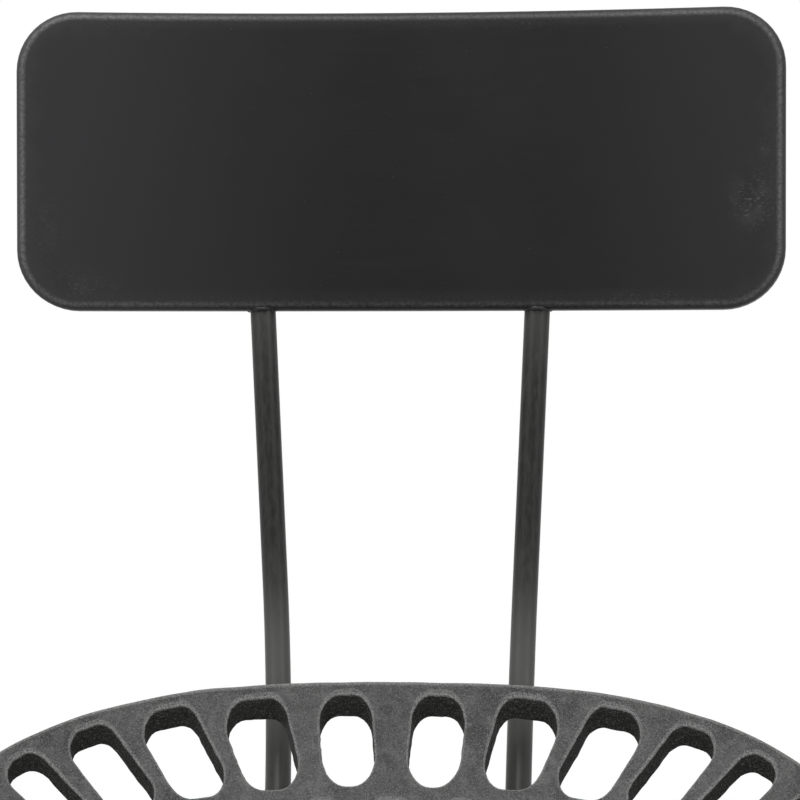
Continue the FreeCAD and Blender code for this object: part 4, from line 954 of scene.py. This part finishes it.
def seen_white(tree):
    """1 for rays that see the background: from the camera, by reflection or through glass."""
    path = tree.nodes.new("ShaderNodeLightPath")
    seen = path.outputs["Is Camera Ray"]
    for kind in ("Is Glossy Ray", "Is Transmission Ray"):
        either = tree.nodes.new("ShaderNodeMath")
        either.operation = "MAXIMUM"
        tree.links.new(seen, either.inputs[0])
        tree.links.new(path.outputs[kind], either.inputs[1])
        seen = either.outputs[0]
    return seen


def make_world():
    world = bpy.data.worlds.new("studio")
    bpy.context.scene.world = world
    world.use_nodes = True
    tree = world.node_tree
    tree.nodes.clear()
    out = tree.nodes.new("ShaderNodeOutputWorld")
    mix = tree.nodes.new("ShaderNodeMixShader")
    for socket, strength in ((1, WORLD_LIGHT), (2, 1.0)):
        sky = tree.nodes.new("ShaderNodeBackground")
        sky.inputs[0].default_value = (1, 1, 1, 1)
        sky.inputs[1].default_value = strength
        tree.links.new(sky.outputs[0], mix.inputs[socket])
    tree.links.new(seen_white(tree), mix.inputs[0])
    tree.links.new(mix.outputs[0], out.inputs[0])


def make_floor():
    """A pale floor that keeps the stool's shadow, and is as white as the background further off."""
    turns = [2 * math.pi * index / FLOOR_SIDES for index in range(FLOOR_SIDES)]
    rim = [(FLOOR_RADIUS * math.cos(turn), FLOOR_RADIUS * math.sin(turn), 0) for turn in turns]
    mesh = bpy.data.meshes.new("floor")
    mesh.from_pydata(rim, [], [tuple(range(FLOOR_SIDES))])
    floor = bpy.data.objects.new("floor", mesh)
    bpy.context.scene.collection.objects.link(floor)
    pale = Surface("pale_floor", (0.82, 0.82, 0.82), 0.9, specular=0.2)
    away = pale.add("ShaderNodeVectorMath", Vector=pale.place)
    away.operation = "LENGTH"
    far = pale.span(away.outputs["Value"], WHITE_FROM, WHITE_TO)
    white = pale.add("ShaderNodeEmission", Color=(1, 1, 1, 1), Strength=1.0)
    mix = pale.tree.nodes.new("ShaderNodeMixShader")
    pale.put(mix.inputs[0], pale.maths("MULTIPLY", far, seen_white(pale.tree)))
    pale.put(mix.inputs[1], pale.shader.outputs[0])
    pale.put(mix.inputs[2], white.outputs[0])
    pale.tree.links.new(mix.outputs[0], pale.tree.nodes["Material Output"].inputs[0])
    floor.data.materials.append(pale.material)


# Screw, welds and plate

def make_screw():
    """The spindle with its coarse thread, one turn for each lead of rise, and its plain ends."""
    shape = Shape()
    turns = np.linspace(0, 2 * math.pi, SCREW_SIDES, endpoint=False)
    circle = np.stack([np.cos(turns), np.sin(turns)], 1)

    def ring(radii, level, root=0.0):
        points = np.column_stack([circle * radii[:, None], np.full(SCREW_SIDES, level)])
        return shape.add(points, root=root)

    before = ring(np.full(SCREW_SIDES, SCREW_RADIUS - SCREW_CHAMFER), SCREW_FLOOR)
    shape.cap(before, flip=True)
    levels = np.arange(SCREW_FLOOR + SCREW_CHAMFER, PLATE_FLOOR - 0.2, THREAD_LEAD / THREAD_STEPS)
    for level in [*levels, PLATE_FLOOR]:
        phase = ((level - SCREW_FLOOR) / THREAD_LEAD - turns / (2 * math.pi)) % 1
        depth = np.clip((0.5 - np.abs(phase - 0.5)) * THREAD_FLANK - THREAD_CREST, 0, 1)
        depth *= smooth(level, SCREW_FLOOR + THREAD_START, SCREW_FLOOR + THREAD_FULL)
        depth *= 1 - smooth(level, THREAD_TOP - THREAD_FADE, THREAD_TOP)
        after = ring(SCREW_RADIUS - THREAD_DEPTH * depth, level, root=smooth(depth, 0.2, 0.9))
        shape.strip(before, after)
        before = after
    shape.cap(before)
    return shape


def bead_round(places, thickness):
    """A weld: a lumpy string of metal along a line of places."""
    shape = Shape()
    path = np.asarray(places, float)
    lumps = 1 + WELD_LUMP * np.sin(np.arange(len(path)) * WELD_LUMP_PACE)
    lumps += WELD_UNEVEN * ripple(path, WELD_UNEVEN_LENGTH)
    tube(shape, path, thickness * lumps, sides=WELD_SIDES, chamfer=thickness * WELD_TAPER)
    return shape


def weld_at_panel(side):
    """Where a rod goes up behind the panel's bottom edge, half way round the rod."""
    middle = rod_point(PANEL_FLOOR + PANEL_WELD_RISE)
    turns = np.linspace(-PANEL_WELD_HALF_TURN, PANEL_WELD_HALF_TURN, PANEL_WELD_POINTS)
    forward, up = -np.cos(turns) * ROD_AHEAD[2], np.cos(turns) * ROD_AHEAD[1]
    around = np.stack([np.sin(turns), forward, up], 1)
    return place_rod(middle + around * (ROD_RADIUS + PANEL_WELD_GAP), side)


def weld_at_plate(side, edge):
    """Between a rod and the plate above it, along one side of the rod."""
    ys = np.linspace(PLATE_WELD_START, PLATE_WELD_END, PLATE_WELD_POINTS)
    points = place_rod(np.stack([0 * ys, ys, 0 * ys], 1), side)
    points[:, 0] += edge * ROD_RADIUS * PLATE_WELD_SIDE
    points[:, 2] = PLATE_FLOOR - PLATE_WELD_DROP
    return points


def flat(height):
    """A face that has the same height everywhere."""
    return lambda x, y: np.full_like(x, height)


def make_plate():
    """The plate under the seat, with rounded corners, eased edges and its bolt holes."""
    shape = Shape()
    corners = np.array([(-PLATE_HALF, PLATE_FRONT), (-PLATE_HALF, PLATE_REAR),
                        (PLATE_HALF, PLATE_REAR), (PLATE_HALF, PLATE_FRONT)])
    outlines = [rounded(corners, [PLATE_CORNER] * 4, 8, 10)]
    outlines += [(points, -normals) for points, normals in bolt_holes()]
    loops = [points - normals * PLATE_EASE for points, normals in outlines]
    top = PLATE_FLOOR + PLATE
    rings = two_faces(shape, loops, PLATE_GRID, flat(top), flat(PLATE_FLOOR))
    profile = ((PLATE_FACET, top - PLATE_FACET), (0.0, top - PLATE_EASE),
               (0.0, PLATE_FLOOR + PLATE_EASE), (PLATE_FACET, PLATE_FLOOR + PLATE_FACET))
    for (points, normals), (upper, lower) in zip(outlines, rings):
        wall = [(np.column_stack([points - normals * offset, np.full(len(points), level)]), {})
                for offset, level in profile]
        shape.wall(upper, wall, lower)
    return shape


# Studio
bpy.context.scene.view_settings.view_transform = "Standard"
make_camera()
make_world()
make_floor()
for settings in LAMPS:
    lamp(*settings)

# Materials of the pieces: their own colour first, then paler ones for wear and painted highlights, the
# castings' painted shade and the screw's oil
iron = cast_iron("cast_iron", (0.05, 0.05, 0.0495), (0.24, 0.24, 0.237), (0.011, 0.011, 0.0105))
sheet_paint = brushed_paint("brushed_paint", (0.0085, 0.0085, 0.009), (0.11, 0.11, 0.11))
rod_paint = black_bar("rod_paint", (0.011, 0.0112, 0.0105), (0.05, 0.05, 0.048), (1, 1, 30))
frame_paint = black_bar("frame_paint", (0.014, 0.014, 0.014), (0.05, 0.05, 0.05), (6, 6, 6))
bolt_steel = blacked_steel("bolt_steel", (0.07, 0.07, 0.07), (0.2, 0.2, 0.2))
screw_steel = turned_steel("screw_steel", (0.42, 0.41, 0.4), (0.05, 0.045, 0.04))
hub_iron = cast_iron("hub_iron", (0.04, 0.04, 0.04), (0.12, 0.12, 0.12), (0.02, 0.02, 0.02))
gum = rubber("rubber", (0.012, 0.012, 0.012))

# Pieces, all on the body that turns
finished(make_seat(), "cast_seat", "seat_unit", "seat_casting", iron, "seat")
finished(make_panel(), "pressed_panel", "seat_unit", "panel_paint", sheet_paint, "backrest_panel")
for side, label in ((-1, "left"), (1, "right")):
    bar = Shape()
    path = rod_path(side)
    tube(bar, path, ROD_RADIUS, rub=rod_highlight_and_pale_top(path[:, 2]))
    finished(bar, "rod_" + label, "seat_unit", "rod_paint", rod_paint, "back_rod_" + label)
    weld = bead_round(weld_at_panel(side), PANEL_WELD)
    finished(weld, "panel_weld_" + label, "seat_unit", "frame_paint", frame_paint)
    for edge, place in ((-1, "left"), (1, "right")):
        weld = bead_round(weld_at_plate(side, edge), PLATE_WELD)
        finished(weld, "rod_weld_%s_%s" % (label, place), "seat_unit", "frame_paint", frame_paint)
finished(make_screw(), "spindle_screw", "seat_unit", "spindle_steel", screw_steel, "spindle")
finished(make_plate(), "seat_plate", "seat_unit", "frame_paint", frame_paint, "back_bracket")

# The other solids are shown as they are, each with the material of its slot
replaced = {"seat", "backrest_panel", "back_rod_left", "back_rod_right", "spindle", "back_bracket"}
by_slot = {"frame_paint": frame_paint, "hub_casting": hub_iron, "spindle_steel": screw_steel,
           "fastener_steel": bolt_steel, "foot_rubber": gum}
slots = {part["node"]: part["material_slot"] for part in frame["record"]["subparts"]}
for name, node in frame["nodes"].items():
    if name not in replaced:
        node.data.materials.clear()
        node.data.materials.append(by_slot[slots[name]])
